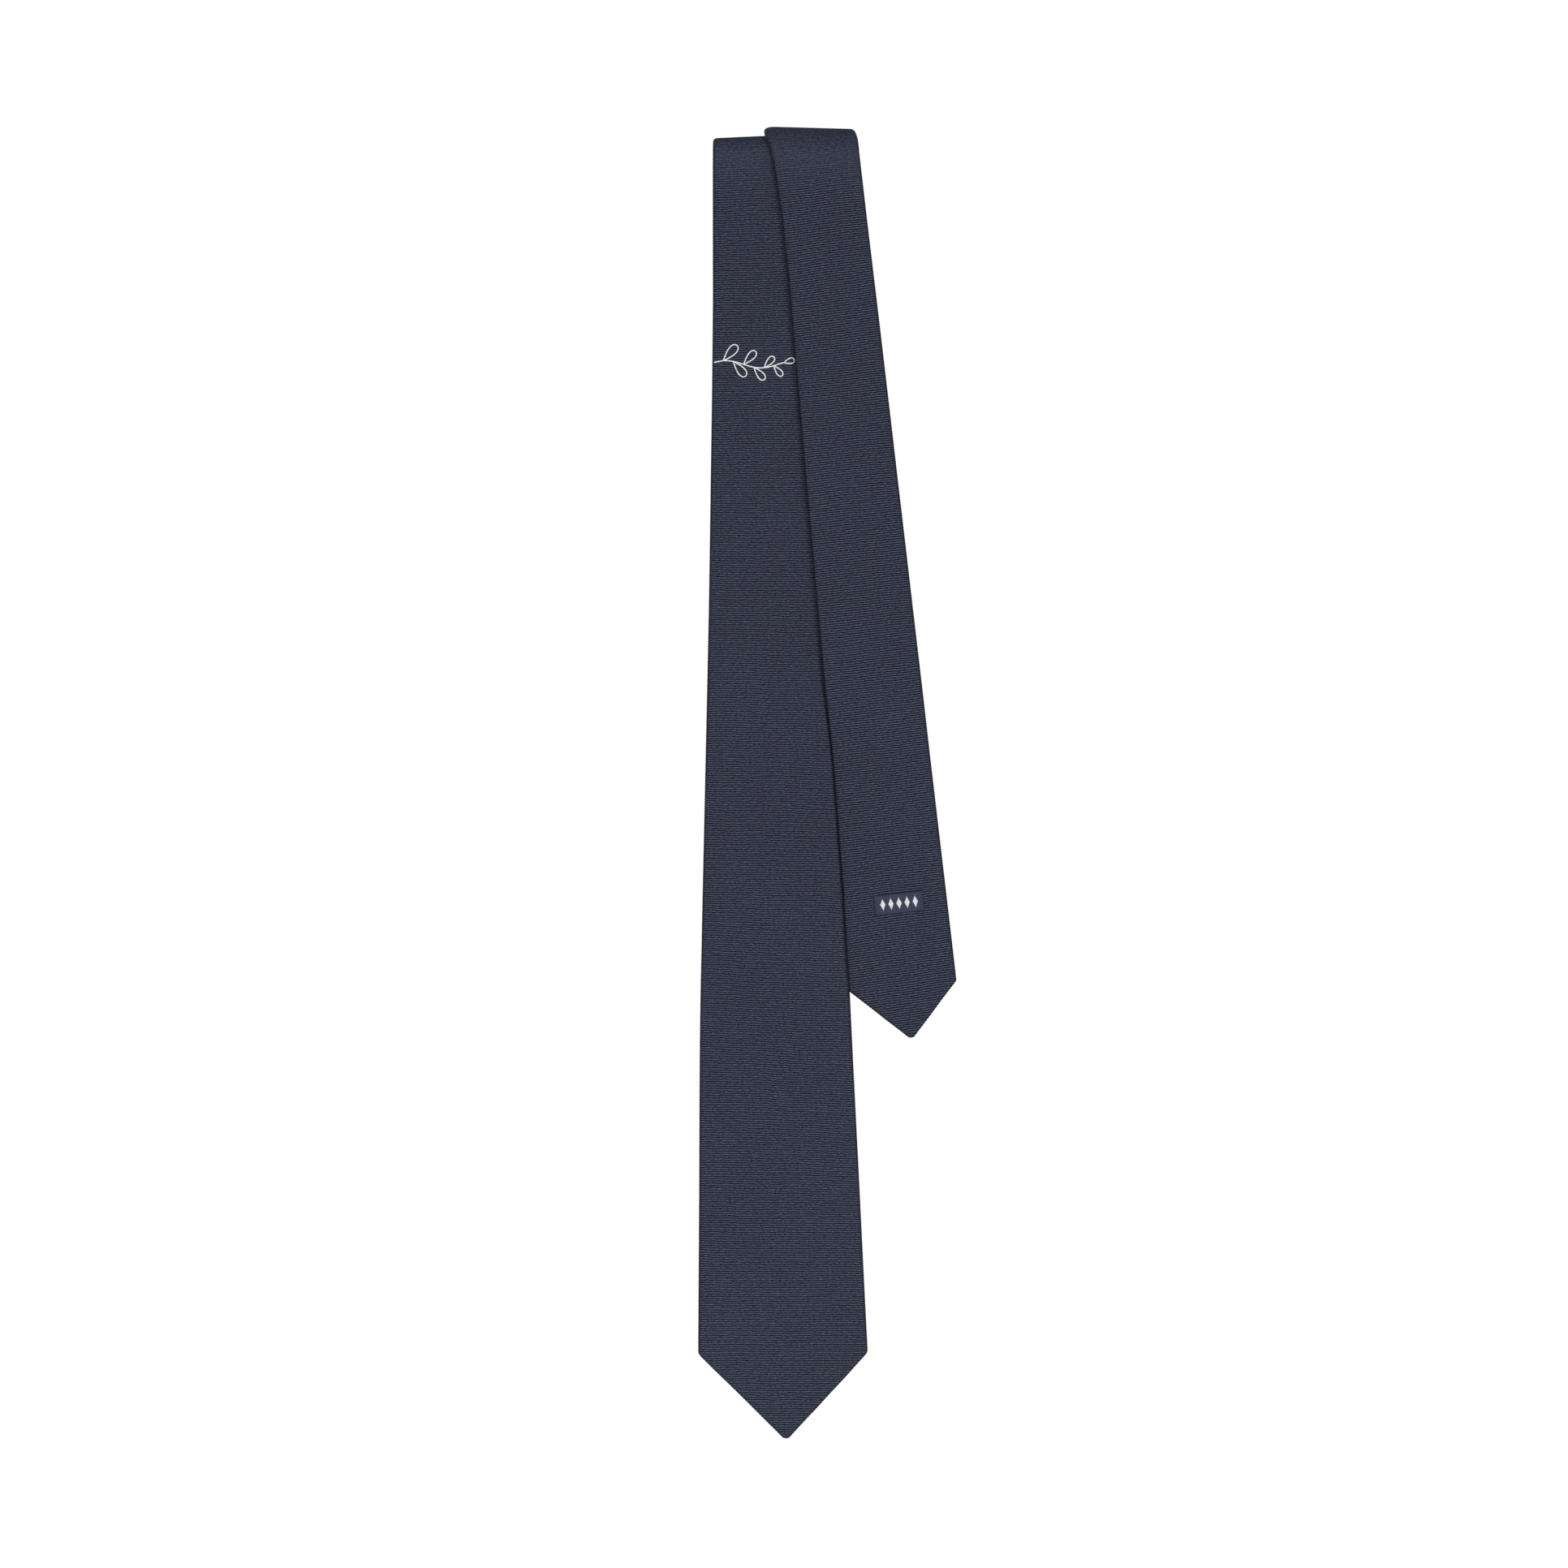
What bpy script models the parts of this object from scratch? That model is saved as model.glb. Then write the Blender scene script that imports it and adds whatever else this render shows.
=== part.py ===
"""Necktie hanging folded over a thin rail: wide blade and narrow tail both hang in front,
the neck loop hangs behind them. Metres, +Z up, front faces -Y. The origin is on the axis
of the rail that the two folds pass over (the rail itself is not part of the tie)."""

import math

import bmesh
import bpy
from mathutils import Vector

MM = 0.001

# ---------------------------------------------------------------- driving dimensions (mm)
THICK = 3.45  # whole pressed tie: two shell layers, interlining and tipping
HALF_T = THICK / 2
WALL = 0.5  # one layer of shell fabric
GAP = 0.3  # running gap between touching layers
RAIL_R = 4.0  # inner radius of the blade's fold
BLADE_R = RAIL_R + HALF_T  # mid radius of the blade's fold
TAIL_R = RAIL_R + THICK + GAP + HALF_T  # mid radius of the tail's fold, which lies over the blade's
END = 0.15  # each leg and its fold stop this far either side of the joint plane

# z of a station, x of the left edge: the blade hangs on the left
BLADE_LEFT = [(0, -30.3), (-104.8, -30.6), (-172.4, -31.6), (-240, -32.8), (-341.5, -35.0), (-409, -35.8), (-499.3, -36.2)]
BLADE_RIGHT = [(0, 9.8), (-71, 12.0), (-138.6, 13.7), (-199.5, 15.2), (-226.5, 17.0), (-253.6, 20.0), (-280.6, 22.0), (-307.7, 24.1), (-334.7, 25.6), (-351, 26.9), (-499.3, 34.4)]
BLADE_TIP = (0.3, -535.3)
BLADE_TACK_Z = -425.0  # top of the inverted V in the back
BLADE_HEM = 9.0  # width of the turned-in shell on the back below the corners

TAIL_LEFT = [(0, -5.6), (-10.1, -3.55), (-23.6, -1.5), (-50.7, 1.35), (-104.8, 5.9), (-199.5, 14.2), (-212, 15.3), (-222, 16.25), (-226, 16.85), (-230, 17.5), (-234, 18.15), (-238, 18.65), (-242, 19.05), (-256, 20.5), (-280.6, 22.35), (-307.7, 24.45), (-334.7, 25.95), (-348.6, 27.0)]
TAIL_RIGHT = [(0, 31.0), (-343.9, 71.3)]
TAIL_TIP = (52.8, -368.1)
TAIL_TACK_Z = -304.0
TAIL_HEM = 7.0
TAIL_Y_TOP = -TAIL_R - 0.1  # the tail hangs in front of the blade's neck ...
TAIL_Y_LOW = -3.2  # ... and settles back beside the blade further down
TAIL_EASE = (-212.0, -256.0)

NECK_HW = 19.3  # half width of the neck band
LOOP_X = 4.0  # centre of the neck loop
LOOP_R = 15.0
LOOP_Z = -232.0
BLADE_SEAM_Z = -30.0  # where the neck panel is pieced to the blade panel
TAIL_SEAM_Z = -36.0
TWIST_L = (-70.0, -180.0)
TWIST_R = (-38.0, -134.0)
RUN_STEPS = 22

LINING_FRONT = 0.95  # interlining, measured from the mid plane towards the front
LINING_BACK = -0.25
CORE_FRONT = 0.75  # the same layer where the band bends round the rail and the neck
CORE_BACK = -0.25
TIPPING_FRONT = -0.55
TIPPING_BACK = -0.9
SLIT = 0.5  # half the gap between the two back edges, where the slip stitch runs

KEEPER_Z = -335.0
KEEPER_SPAN = 27.0
KEEPER_HIGH = 11.0
KEEPER_GAP = 5.0
KEEPER_T = 0.9

LABEL = (20.6, 0.35, 8.4)
LABEL_AT = (47.45, -312.0)
LABEL_TILT = 6.3
CARE = (14.0, 0.3, 22.0)

NAVY = (0.034, 0.038, 0.068)
NAVY_DEEP = (0.018, 0.021, 0.042)
LINING = (0.62, 0.58, 0.50)
THREAD = (0.020, 0.024, 0.050)
WHITE = (0.80, 0.80, 0.82)
INDIGO = (0.045, 0.050, 0.155)


# ---------------------------------------------------------------- scene helpers
for old in list(bpy.data.objects):
    bpy.data.objects.remove(old, do_unlink=True)

tie = bpy.data.collections.new("necktie")
cutters = bpy.data.collections.new("cutters")
bpy.context.scene.collection.children.link(tie)
bpy.context.scene.collection.children.link(cutters)


def material(name, colour, roughness):
    made = bpy.data.materials.new(name)
    made.use_nodes = True
    shader = made.node_tree.nodes["Principled BSDF"]
    shader.inputs["Base Color"].default_value = (*colour, 1.0)
    shader.inputs["Roughness"].default_value = roughness
    shader.inputs["Metallic"].default_value = 0.0
    return made


def add(name, data, parent, look, collection=tie):
    obj = bpy.data.objects.new(name, data)
    collection.objects.link(obj)
    obj.parent = parent
    if look is not None:
        data.materials.append(look)
    return obj


def empty(name, parent=None):
    obj = bpy.data.objects.new(name, None)
    tie.objects.link(obj)
    obj.empty_display_size = 0.03
    obj.parent = parent
    return obj


def at(table, z):
    """Straight-line reading of an edge table at height z."""
    for (z0, x0), (z1, x1) in zip(table, table[1:]):
        if z >= z1:
            return x0 + (x1 - x0) * (z - z0) / (z1 - z0)
    return table[-1][1]


def ease(a, b, v):
    t = min(1.0, max(0.0, (v - a) / (b - a)))
    return t * t * (3 - 2 * t)


def arc(cx, cy, r, a0, a1, n):
    return [(cx + r * math.cos(math.radians(a0 + (a1 - a0) * i / n)), cy + r * math.sin(math.radians(a0 + (a1 - a0) * i / n))) for i in range(n + 1)]


def loft(name, rings, parent, look, collection=tie):
    """A closed solid through rings of equal point counts, capped at both ends. Every loft and
    sheet is split along the same diagonal, so that layers which twist together stay apart."""
    bm = bmesh.new()
    rows = [[bm.verts.new(Vector(p) * MM) for p in ring] for ring in rings]
    n = len(rows[0])
    for a, b in zip(rows, rows[1:]):
        for i in range(n):
            j = (i + 1) % n
            bm.faces.new((a[i], a[j], b[j]))
            bm.faces.new((a[i], b[j], b[i]))
    bm.faces.new(rows[0][::-1])
    bm.faces.new(rows[-1])
    bmesh.ops.recalc_face_normals(bm, faces=bm.faces)
    mesh = bpy.data.meshes.new(name)
    bm.to_mesh(mesh)
    bm.free()
    mesh.shade_smooth()
    mesh.set_sharp_from_angle(angle=math.radians(40))
    return add(name, mesh, parent, look, collection)


def cutter(name, rings):
    obj = loft(name, rings, None, None, cutters)
    obj.hide_render = True
    obj.display_type = "WIRE"
    return obj


def cut(obj, tool):
    mod = obj.modifiers.new(tool.name, "BOOLEAN")
    mod.operation = "DIFFERENCE"
    mod.solver = "EXACT"
    mod.object = tool


def shell(name, rows, parent, look):
    """An open sheet through rows of points, given the thickness of the fabric on its inner side."""
    bm = bmesh.new()
    grid = [[bm.verts.new(Vector(p) * MM) for p in row] for row in rows]
    for a, b in zip(grid, grid[1:]):
        for i in range(len(a) - 1):
            bm.faces.new((a[i], b[i + 1], a[i + 1]))
            bm.faces.new((a[i], b[i], b[i + 1]))
    mesh = bpy.data.meshes.new(name)
    bm.to_mesh(mesh)
    bm.free()
    mesh.shade_smooth()
    mesh.set_sharp_from_angle(angle=math.radians(40))
    obj = add(name, mesh, parent, look)
    solid = obj.modifiers.new("fabric", "SOLIDIFY")
    solid.thickness = WALL * MM
    solid.offset = -1.0
    solid.use_even_offset = True
    solid.use_rim = True
    return obj


def wire(name, points, radius, parent, look, sides=1):
    """A thread: a round tube along its own points, with closed ends."""
    data = bpy.data.curves.new(name, "CURVE")
    data.dimensions = "3D"
    data.bevel_depth = radius * MM
    data.bevel_resolution = sides
    data.use_fill_caps = True
    line = data.splines.new("POLY")
    line.points.add(len(points) - 1)
    for knot, p in zip(line.points, points):
        knot.co = (p[0] * MM, p[1] * MM, p[2] * MM, 1.0)
    return add(name, data, parent, look)


def plate(name, size, centre, tilt, parent, look):
    bpy.ops.mesh.primitive_cube_add(size=1.0)
    obj = bpy.context.object
    obj.name = name
    obj.data.name = name
    for c in list(obj.users_collection):
        c.objects.unlink(obj)
    tie.objects.link(obj)
    for v in obj.data.vertices:
        v.co = Vector((v.co.x * size[0] * MM, v.co.y * size[1] * MM, v.co.z * size[2] * MM))
    obj.location = Vector(centre) * MM
    obj.rotation_euler = (0.0, math.radians(-tilt), 0.0)
    obj.parent = parent
    obj.data.materials.append(look)
    return obj


# ---------------------------------------------------------------- sections
def flat_ring(xl, xr, y, half, n=5):
    """Outline of a pressed, round-edged fabric tube at one height, as (x, y) pairs."""
    mid, hw = (xl + xr) / 2, (xr - xl) / 2
    h = min(half, hw * 0.98)
    return arc(mid + hw - h, y, h, -90, 90, n) + arc(mid - hw + h, y, h, 90, 270, n)


def slab_ring(xl, xr, y0, y1):
    return [(xl, y0), (xr, y0), (xr, y1), (xl, y1)]


def band_profile(hw, n=4):
    """The shell's section as an open C in (across, outward): back edge, side, front, side, back edge."""
    h = HALF_T
    right = arc(hw - h, 0, h, -90, 90, n)
    left = arc(-hw + h, 0, h, 90, 270, n)
    q = (hw - h) / 2
    return [(SLIT, -h), (q, -h)] + right + [(q, h), (0.0, h), (-q, h)] + left + [(-q, -h), (-SLIT, -h)]


def core_profile(hw):
    """The interlining's section, counterclockwise in (across, outward)."""
    steps = [-hw, -hw / 2, 0.0, hw / 2, hw]
    return [(a, CORE_BACK) for a in steps] + [(a, CORE_FRONT) for a in steps[::-1]]


def place(frame, profile):
    c, w, n = frame
    return [c + w * a + n * b for a, b in profile]


# ---------------------------------------------------------------- legs
class Leg:
    """Edges, middle depth and back opening of one hanging leg."""

    def __init__(self, left, right, tip, tack_z, hem, depth):
        self.corner_l = left[-1]
        self.corner_r = right[-1]
        self.left = left + [(tip[1], tip[0])]
        self.right = right + [(tip[1], tip[0])]
        self.tip, self.tack_z, self.hem, self.depth = tip, tack_z, hem, depth
        self.corner_z = min(self.corner_l[0], self.corner_r[0])

    def edges(self, z, inset=0.0):
        steep = 1.45 if z < max(self.corner_l[0], self.corner_r[0]) - 0.01 else 1.0
        return at(self.left, z) + inset * steep, at(self.right, z) - inset * steep

    def half(self, z, inset=0.0):
        a, b = self.edges(z, inset)
        return (b - a) / 2

    def mid(self, z):
        a, b = self.edges(z)
        return (a + b) / 2

    def z_where(self, width, inset=0.0):
        """The height below the corners where the leg is only this half width."""
        hi, lo = self.corner_z, self.tip[1]
        for _ in range(40):
            m = (hi + lo) / 2
            if self.half(m, inset) > width:
                hi = m
            else:
                lo = m
        return (hi + lo) / 2

    def stations(self, top, low, extra=()):
        zs = {top, low}
        for z, _ in self.left[:-1] + self.right[:-1]:
            zs.add(z)
        zs.update(extra)
        return sorted((z for z in zs if low <= z <= top), reverse=True)

    def body(self, name, parent, look, extra):
        low = self.z_where(0.55)
        zs = self.stations(-END, low, list(extra) + [self.z_where(1.2), self.z_where(2.4), self.z_where(8.0)])
        outer = [[(x, y, z) for x, y in flat_ring(*self.edges(z), self.depth(z), HALF_T)] for z in zs]
        obj = loft(name, outer, parent, look)
        low = self.z_where(1.35, WALL)
        zs = self.stations(2.0, low, list(extra) + [self.z_where(3.0, WALL)])
        inner = [[(x, y, z) for x, y in flat_ring(*self.edges(z, WALL), self.depth(z), HALF_T - WALL)] for z in zs]
        cut(obj, cutter(name + "_cavity", inner))
        low = self.z_where(self.hem + 0.4)
        zs = self.stations(3.0, low, list(extra) + [self.tack_z])
        opening = []
        for z in zs:
            m, o = self.mid(z), self.opening(z)
            y = self.depth(z)
            opening.append([(x, yy, z) for x, yy in slab_ring(m - o, m + o, y + 0.95, y + 3.0)])
        cut(obj, cutter(name + "_opening", opening))
        return obj

    def opening(self, z):
        """Half the distance between the two turned-in back edges."""
        if z >= self.tack_z:
            return SLIT
        full = self.half(self.corner_z) - self.hem
        if z >= self.corner_z:
            return SLIT + (full - SLIT) * (self.tack_z - z) / (self.tack_z - self.corner_z)
        return max(0.3, self.half(z) - self.hem)

    def core(self, name, parent, look, extra):
        low = self.z_where(3.0, 1.7)
        rings = []
        for z in self.stations(-END, low, extra):
            a, b = self.edges(z, 1.7)
            y = self.depth(z)
            rings.append([(x, yy, z) for x, yy in slab_ring(a, b, y - LINING_FRONT, y - LINING_BACK)])
        return loft(name, rings, parent, look)

    def tipping(self, name, parent, look, extra):
        low = self.z_where(2.2, 1.6)
        rings = []
        for z in self.stations(self.tack_z + 16.0, low, extra):
            a, b = self.edges(z, 1.6)
            y = self.depth(z)
            rings.append([(x, yy, z) for x, yy in slab_ring(a, b, y - TIPPING_FRONT, y - TIPPING_BACK)])
        return loft(name, rings, parent, look)

    def back_y(self, z):
        return self.depth(z) + HALF_T


def tail_depth(z):
    return TAIL_Y_TOP + (TAIL_Y_LOW - TAIL_Y_TOP) * ease(TAIL_EASE[0], TAIL_EASE[1], z)


blade = Leg(BLADE_LEFT, BLADE_RIGHT, BLADE_TIP, BLADE_TACK_Z, BLADE_HEM, lambda z: -BLADE_R)
tail = Leg(TAIL_LEFT, TAIL_RIGHT, TAIL_TIP, TAIL_TACK_Z, TAIL_HEM, tail_depth)

navy = material("navy_faille", NAVY, 0.62)
blade_navy = material("blade_faille", NAVY, 0.62)
tail_navy = material("tail_faille", NAVY, 0.62)
fold_navy = material("fold_faille", NAVY, 0.62)
tail_fold_navy = material("tail_fold_faille", NAVY, 0.62)
keeper_navy = material("keeper_faille", NAVY, 0.60)
satin = material("blade_tipping_satin", NAVY_DEEP, 0.35)
tail_satin = material("tail_tipping_satin", NAVY_DEEP, 0.35)
canvas = material("interlining_canvas", LINING, 0.9)

neck_hub = empty("neck")
blade_hub = empty("blade_joint", neck_hub)
tail_hub = empty("tail_joint", blade_hub)

blade_extra = [-340.0, -425.0, -460.0]
ease_steps = [TAIL_EASE[0] + (TAIL_EASE[1] - TAIL_EASE[0]) * i / 8 for i in range(9)]
tail_extra = ease_steps + [-304.0, -325.0]

blade.body("blade_shell", blade_hub, blade_navy, blade_extra)
blade.core("blade_interlining", blade_hub, canvas, [])
blade.tipping("blade_tipping", blade_hub, satin, [])
tail.body("tail_shell", tail_hub, tail_navy, tail_extra)
tail.core("tail_interlining", tail_hub, canvas.copy(), ease_steps)
tail.tipping("tail_tipping", tail_hub, tail_satin, ease_steps)


# ---------------------------------------------------------------- folds over the rail
def fold_frames(radius, seam_z, centre, across, steps=14):
    """Frames from the front of the joint plane over the rail to the piecing seam behind."""
    frames = []
    start = math.degrees(END / radius)
    for i in range(steps + 1):
        turn = start + (180 - start) * i / steps
        x, w = centre(turn / 180.0), across
        c, s = math.cos(math.radians(turn)), math.sin(math.radians(turn))
        frames.append((Vector((x, -radius * c, radius * s)), Vector((w, 0, 0)), Vector((0, -c, s))))
    frames.append((Vector((centre(1.0), radius, seam_z)), Vector((across, 0, 0)), Vector((0, 1, 0))))
    return frames


def blade_fold_x(t):
    return -10.25 - 0.3 * t


def tail_fold_x(t):
    return 12.55 - 1.45 * ease(0.0, 0.45, t)


def blade_fold_hw(t):
    return 20.05 - (20.05 - NECK_HW) * t


def tail_fold_hw(t):
    return 18.15 + (NECK_HW - 18.15) * ease(0.0, 0.45, t)


def fold(name, frames, half_width, look):
    n = len(frames) - 2
    rows = [place(f, band_profile(half_width(min(1.0, i / n)))) for i, f in enumerate(frames)]
    return shell(name, rows, neck_hub, look)


def core_along(name, frames, half_width, look):
    rings = []
    for i, f in enumerate(frames):
        rings.append(place(f, core_profile(half_width(i) - HALF_T)))
    return loft(name, rings, neck_hub, look)


blade_frames = fold_frames(BLADE_R, BLADE_SEAM_Z, blade_fold_x, 1.0)
tail_frames = fold_frames(TAIL_R, TAIL_SEAM_Z, tail_fold_x, 1.0)
fold("blade_shell_fold", blade_frames, blade_fold_hw, fold_navy)
fold("tail_shell_fold", tail_frames, tail_fold_hw, tail_fold_navy)
core_along("blade_interlining_fold", blade_frames, lambda i: blade_fold_hw(min(1.0, i / 14)), canvas.copy())
core_along("tail_interlining_fold", tail_frames, lambda i: tail_fold_hw(min(1.0, i / 14)), canvas.copy())


# ---------------------------------------------------------------- neck loop behind
def left_run(z):
    a = math.radians(90 * ease(TWIST_L[0], TWIST_L[1], z))
    x = -10.55 + (LOOP_X - LOOP_R + 10.55) * ease(BLADE_SEAM_Z, -150.0, z)
    y = BLADE_R + (NECK_HW - 1.0) * math.sin(a)
    return Vector((x, y, z)), Vector((math.cos(a), math.sin(a), 0)), Vector((-math.sin(a), math.cos(a), 0))


def right_run(z):
    a = math.radians(90 * ease(TWIST_R[0], TWIST_R[1], z))
    x = 11.1 + (LOOP_X + LOOP_R - 11.1) * ease(TAIL_SEAM_Z, -150.0, z)
    y = TAIL_R + (BLADE_R + NECK_HW - 1.0 - TAIL_R) * math.sin(a)
    return Vector((x, y, z)), Vector((-math.cos(a), math.sin(a), 0)), Vector((math.sin(a), math.cos(a), 0))


loop_frames = []
for i in range(RUN_STEPS + 1):
    loop_frames.append(left_run(BLADE_SEAM_Z - GAP + (LOOP_Z - BLADE_SEAM_Z + GAP) * i / RUN_STEPS))
for i in range(1, 12):
    b = math.radians(180 + 180 * i / 12)
    c, s = math.cos(b), math.sin(b)
    loop_frames.append((Vector((LOOP_X + LOOP_R * c, BLADE_R + NECK_HW - 1.0, LOOP_Z + LOOP_R * s)), Vector((0, 1, 0)), Vector((c, 0, s))))
for i in range(RUN_STEPS + 1):
    loop_frames.append(right_run(LOOP_Z + (TAIL_SEAM_Z - GAP - LOOP_Z) * i / RUN_STEPS))

shell("neck_shell", [place(f, band_profile(NECK_HW)) for f in loop_frames], neck_hub, navy)
core_along("neck_interlining", loop_frames, lambda i: NECK_HW, canvas.copy())

# ---------------------------------------------------------------- keeper loop on the blade's back
back = -BLADE_R + HALF_T
mid = blade.mid(KEEPER_Z)
span, rise = KEEPER_SPAN, KEEPER_GAP
base = back + GAP + KEEPER_T / 2
lift = [(-span, 0.0), (-span + 3.0, 0.0), (-span + 3.9, 0.7), (-span + 4.4, rise - 0.7), (-span + 5.4, rise), (0.0, rise + 0.35)]
lift += [(-x, y) for x, y in lift[-2::-1]]
ribbon = bpy.data.curves.new("keeper_loop", "CURVE")
ribbon.dimensions = "3D"
ribbon.extrude = KEEPER_HIGH / 2 * MM
line = ribbon.splines.new("POLY")
line.points.add(len(lift) - 1)
for knot, (x, y) in zip(line.points, lift):
    knot.co = (x * MM, y * MM, 0.0, 1.0)
keeper = add("keeper_loop", ribbon, blade_hub, keeper_navy)
keeper.location = Vector((mid, base, KEEPER_Z)) * MM
thick = keeper.modifiers.new("fabric", "SOLIDIFY")
thick.thickness = KEEPER_T * MM
thick.offset = 0.0
thick.use_even_offset = True

tack_y = base + KEEPER_T / 2 + GAP + 0.25
for side, name in ((-1, "keeper_tack_left"), (1, "keeper_tack_right")):
    x = mid + side * (span - 1.5)
    points = [(x + (0.5 if i % 2 else -0.5), tack_y, KEEPER_Z - 4.2 + 1.2 * i) for i in range(8)]
    wire(name, points, 0.25, blade_hub, material(name, THREAD, 0.5))


# ---------------------------------------------------------------- stitching
def slip_stitch(name, leg, top, low, count, look):
    points = []
    for i in range(count + 1):
        z = top + (low - top) * i / count
        points.append((leg.mid(z), leg.depth(z) + 1.5, z))
    return wire(name, points, 0.18, tail_hub if leg is tail else blade_hub, look)


slip_stitch("blade_slip_stitch", blade, -4.0, BLADE_TACK_Z + 4.0, 30, material("blade_slip_thread", THREAD, 0.5))
slip_stitch("tail_slip_stitch", tail, -4.0, TAIL_TACK_Z + 4.0, 40, material("tail_slip_thread", THREAD, 0.5))
wire("neck_slip_stitch", [c - n * 1.5 for c, w, n in loop_frames[1:-1]], 0.18, neck_hub, material("neck_slip_thread", THREAD, 0.5))

for leg, hub, name in ((blade, blade_hub, "blade_bar_tack"), (tail, tail_hub, "tail_bar_tack")):
    z = leg.tack_z + 1.0
    y = leg.back_y(z) + GAP + 0.3
    points = [(leg.mid(z) - 2.6 + 5.2 * i / 10, y, z + (0.35 if i % 2 else -0.35)) for i in range(11)]
    wire(name, points, 0.3, hub, material(name, THREAD, 0.5))

# ---------------------------------------------------------------- labels
label_y = TAIL_Y_LOW - HALF_T - GAP - LABEL[1] / 2
plate("tail_label", LABEL, (LABEL_AT[0], label_y, LABEL_AT[1]), LABEL_TILT, tail_hub, material("label_weave", INDIGO, 0.55))
tilt = math.radians(LABEL_TILT)
for side, name in ((-1, "label_stitch_left"), (1, "label_stitch_right")):
    points = []
    for i in range(8):
        u, v = side * (LABEL[0] / 2 - 0.6) + (0.3 if i % 2 else -0.3), -3.5 + 1.0 * i
        points.append((LABEL_AT[0] + u * math.cos(tilt) - v * math.sin(tilt), label_y - LABEL[1] / 2 - GAP - 0.15, LABEL_AT[1] + u * math.sin(tilt) + v * math.cos(tilt)))
    wire(name, points, 0.15, tail_hub, material(name, INDIGO, 0.5))
plate("care_label", CARE, (blade.mid(-304.0) + 9.0, back + GAP + CARE[1] / 2, -304.0), 0.0, blade_hub, material("care_label", WHITE, 0.7))

# ---------------------------------------------------------------- embroidered sprig on the blade's front
SPRIG_Z = -87.5
SPRIG_X = (-29.6, 3.4)


def stem(x):
    return Vector((x, 0, SPRIG_Z + 1.7 * math.sin((x - SPRIG_X[0]) / (SPRIG_X[1] - SPRIG_X[0]) * 2 * math.pi)))


points, x, up = [stem(SPRIG_X[0])], SPRIG_X[0] + 3.4, 1
while x < SPRIG_X[1] - 2.0:
    root = stem(x)
    lean, long, wide = Vector((0.62, 0, 0.78 * up)), 7.2, 1.45
    across = Vector((lean.z, 0, -lean.x)) * up
    for i in range(9):
        t = 0.04 + 0.92 * i / 8
        points.append(root + lean * (long * math.sin(math.pi * t)) - across * (wide * math.sin(2 * math.pi * t)) + Vector((0.9 * t, 0, 0)))
    x += 4.1
    up = -up
points.append(stem(SPRIG_X[1]))
wire("embroidery_motif", [(p.x, -BLADE_R - HALF_T - GAP - 0.3, p.z) for p in points], 0.3, blade_hub, material("embroidery_thread", WHITE, 0.45))
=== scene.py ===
"""Looks of the folded, hanging necktie: ribbed faille shells, satin tippings, canvas
interlinings, stitches and labels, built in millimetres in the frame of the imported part."""
import math

import bpy
import numpy as np
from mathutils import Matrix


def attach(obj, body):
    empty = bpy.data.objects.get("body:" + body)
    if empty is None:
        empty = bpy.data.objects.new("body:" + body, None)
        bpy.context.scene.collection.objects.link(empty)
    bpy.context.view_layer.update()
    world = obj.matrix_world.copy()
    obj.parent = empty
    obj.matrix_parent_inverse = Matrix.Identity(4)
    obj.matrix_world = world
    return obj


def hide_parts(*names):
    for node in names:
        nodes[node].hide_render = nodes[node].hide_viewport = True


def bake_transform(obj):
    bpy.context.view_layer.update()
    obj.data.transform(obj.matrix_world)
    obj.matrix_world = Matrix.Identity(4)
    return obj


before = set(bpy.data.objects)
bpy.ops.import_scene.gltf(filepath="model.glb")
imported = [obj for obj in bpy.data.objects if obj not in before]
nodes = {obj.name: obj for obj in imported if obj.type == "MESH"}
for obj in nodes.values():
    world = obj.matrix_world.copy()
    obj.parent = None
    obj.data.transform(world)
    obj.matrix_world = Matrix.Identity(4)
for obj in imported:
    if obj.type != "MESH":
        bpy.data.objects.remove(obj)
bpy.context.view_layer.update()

MM = 0.001
PITCH = 0.955  # one rib of the faille
STEP = PITCH / 4  # rows of the mesh, four to a rib
RIB = 0.17  # height of a rib over its groove
H = 1.725  # half the thickness of the pressed tie
CLOTH = 0.38  # one layer of shell fabric
SLIT = 0.5
GAP = 0.3
BLADE_R = 5.725
TAIL_R = 9.475
NECK_HW = 19.3
BLADE_SEAM = -30.0
TAIL_SEAM = -36.0
BLADE_TACK = -425.0
TAIL_TACK = -304.0
BLADE_HEM = 9.0
TAIL_HEM = 7.0
LOOP_X, LOOP_R, LOOP_Z = 4.0, 15.0, -232.0


# ------------------------------------------------------------------ numbers
def ease(a, b, v):
    t = np.clip((np.asarray(v, float) - a) / (b - a), 0.0, 1.0)
    return t * t * (3 - 2 * t)


def gauss(values, sigma):
    """Soft smoothing of evenly spaced samples; the line goes on straight past both ends."""
    if sigma < 0.2:
        return values
    reach = int(4 * sigma) + 1
    k = np.exp(-0.5 * (np.arange(-reach, reach + 1) / sigma) ** 2)
    padded = np.pad(values, reach, mode="reflect", reflect_type="odd")
    return np.convolve(padded, k / k.sum(), mode="valid")


def drift(a, s, seed):
    """Slow, seeded waviness from about -1 to 1 over distance across a and along s, in mm."""
    return (
        np.sin(a * 0.105 + s * 0.043 + seed)
        + 0.7 * np.sin(a * 0.21 - s * 0.071 + 2.1 * seed)
        + 0.5 * np.sin(a * 0.37 + s * 0.121 + 0.7 * seed)
    ) / 2.2


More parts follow.
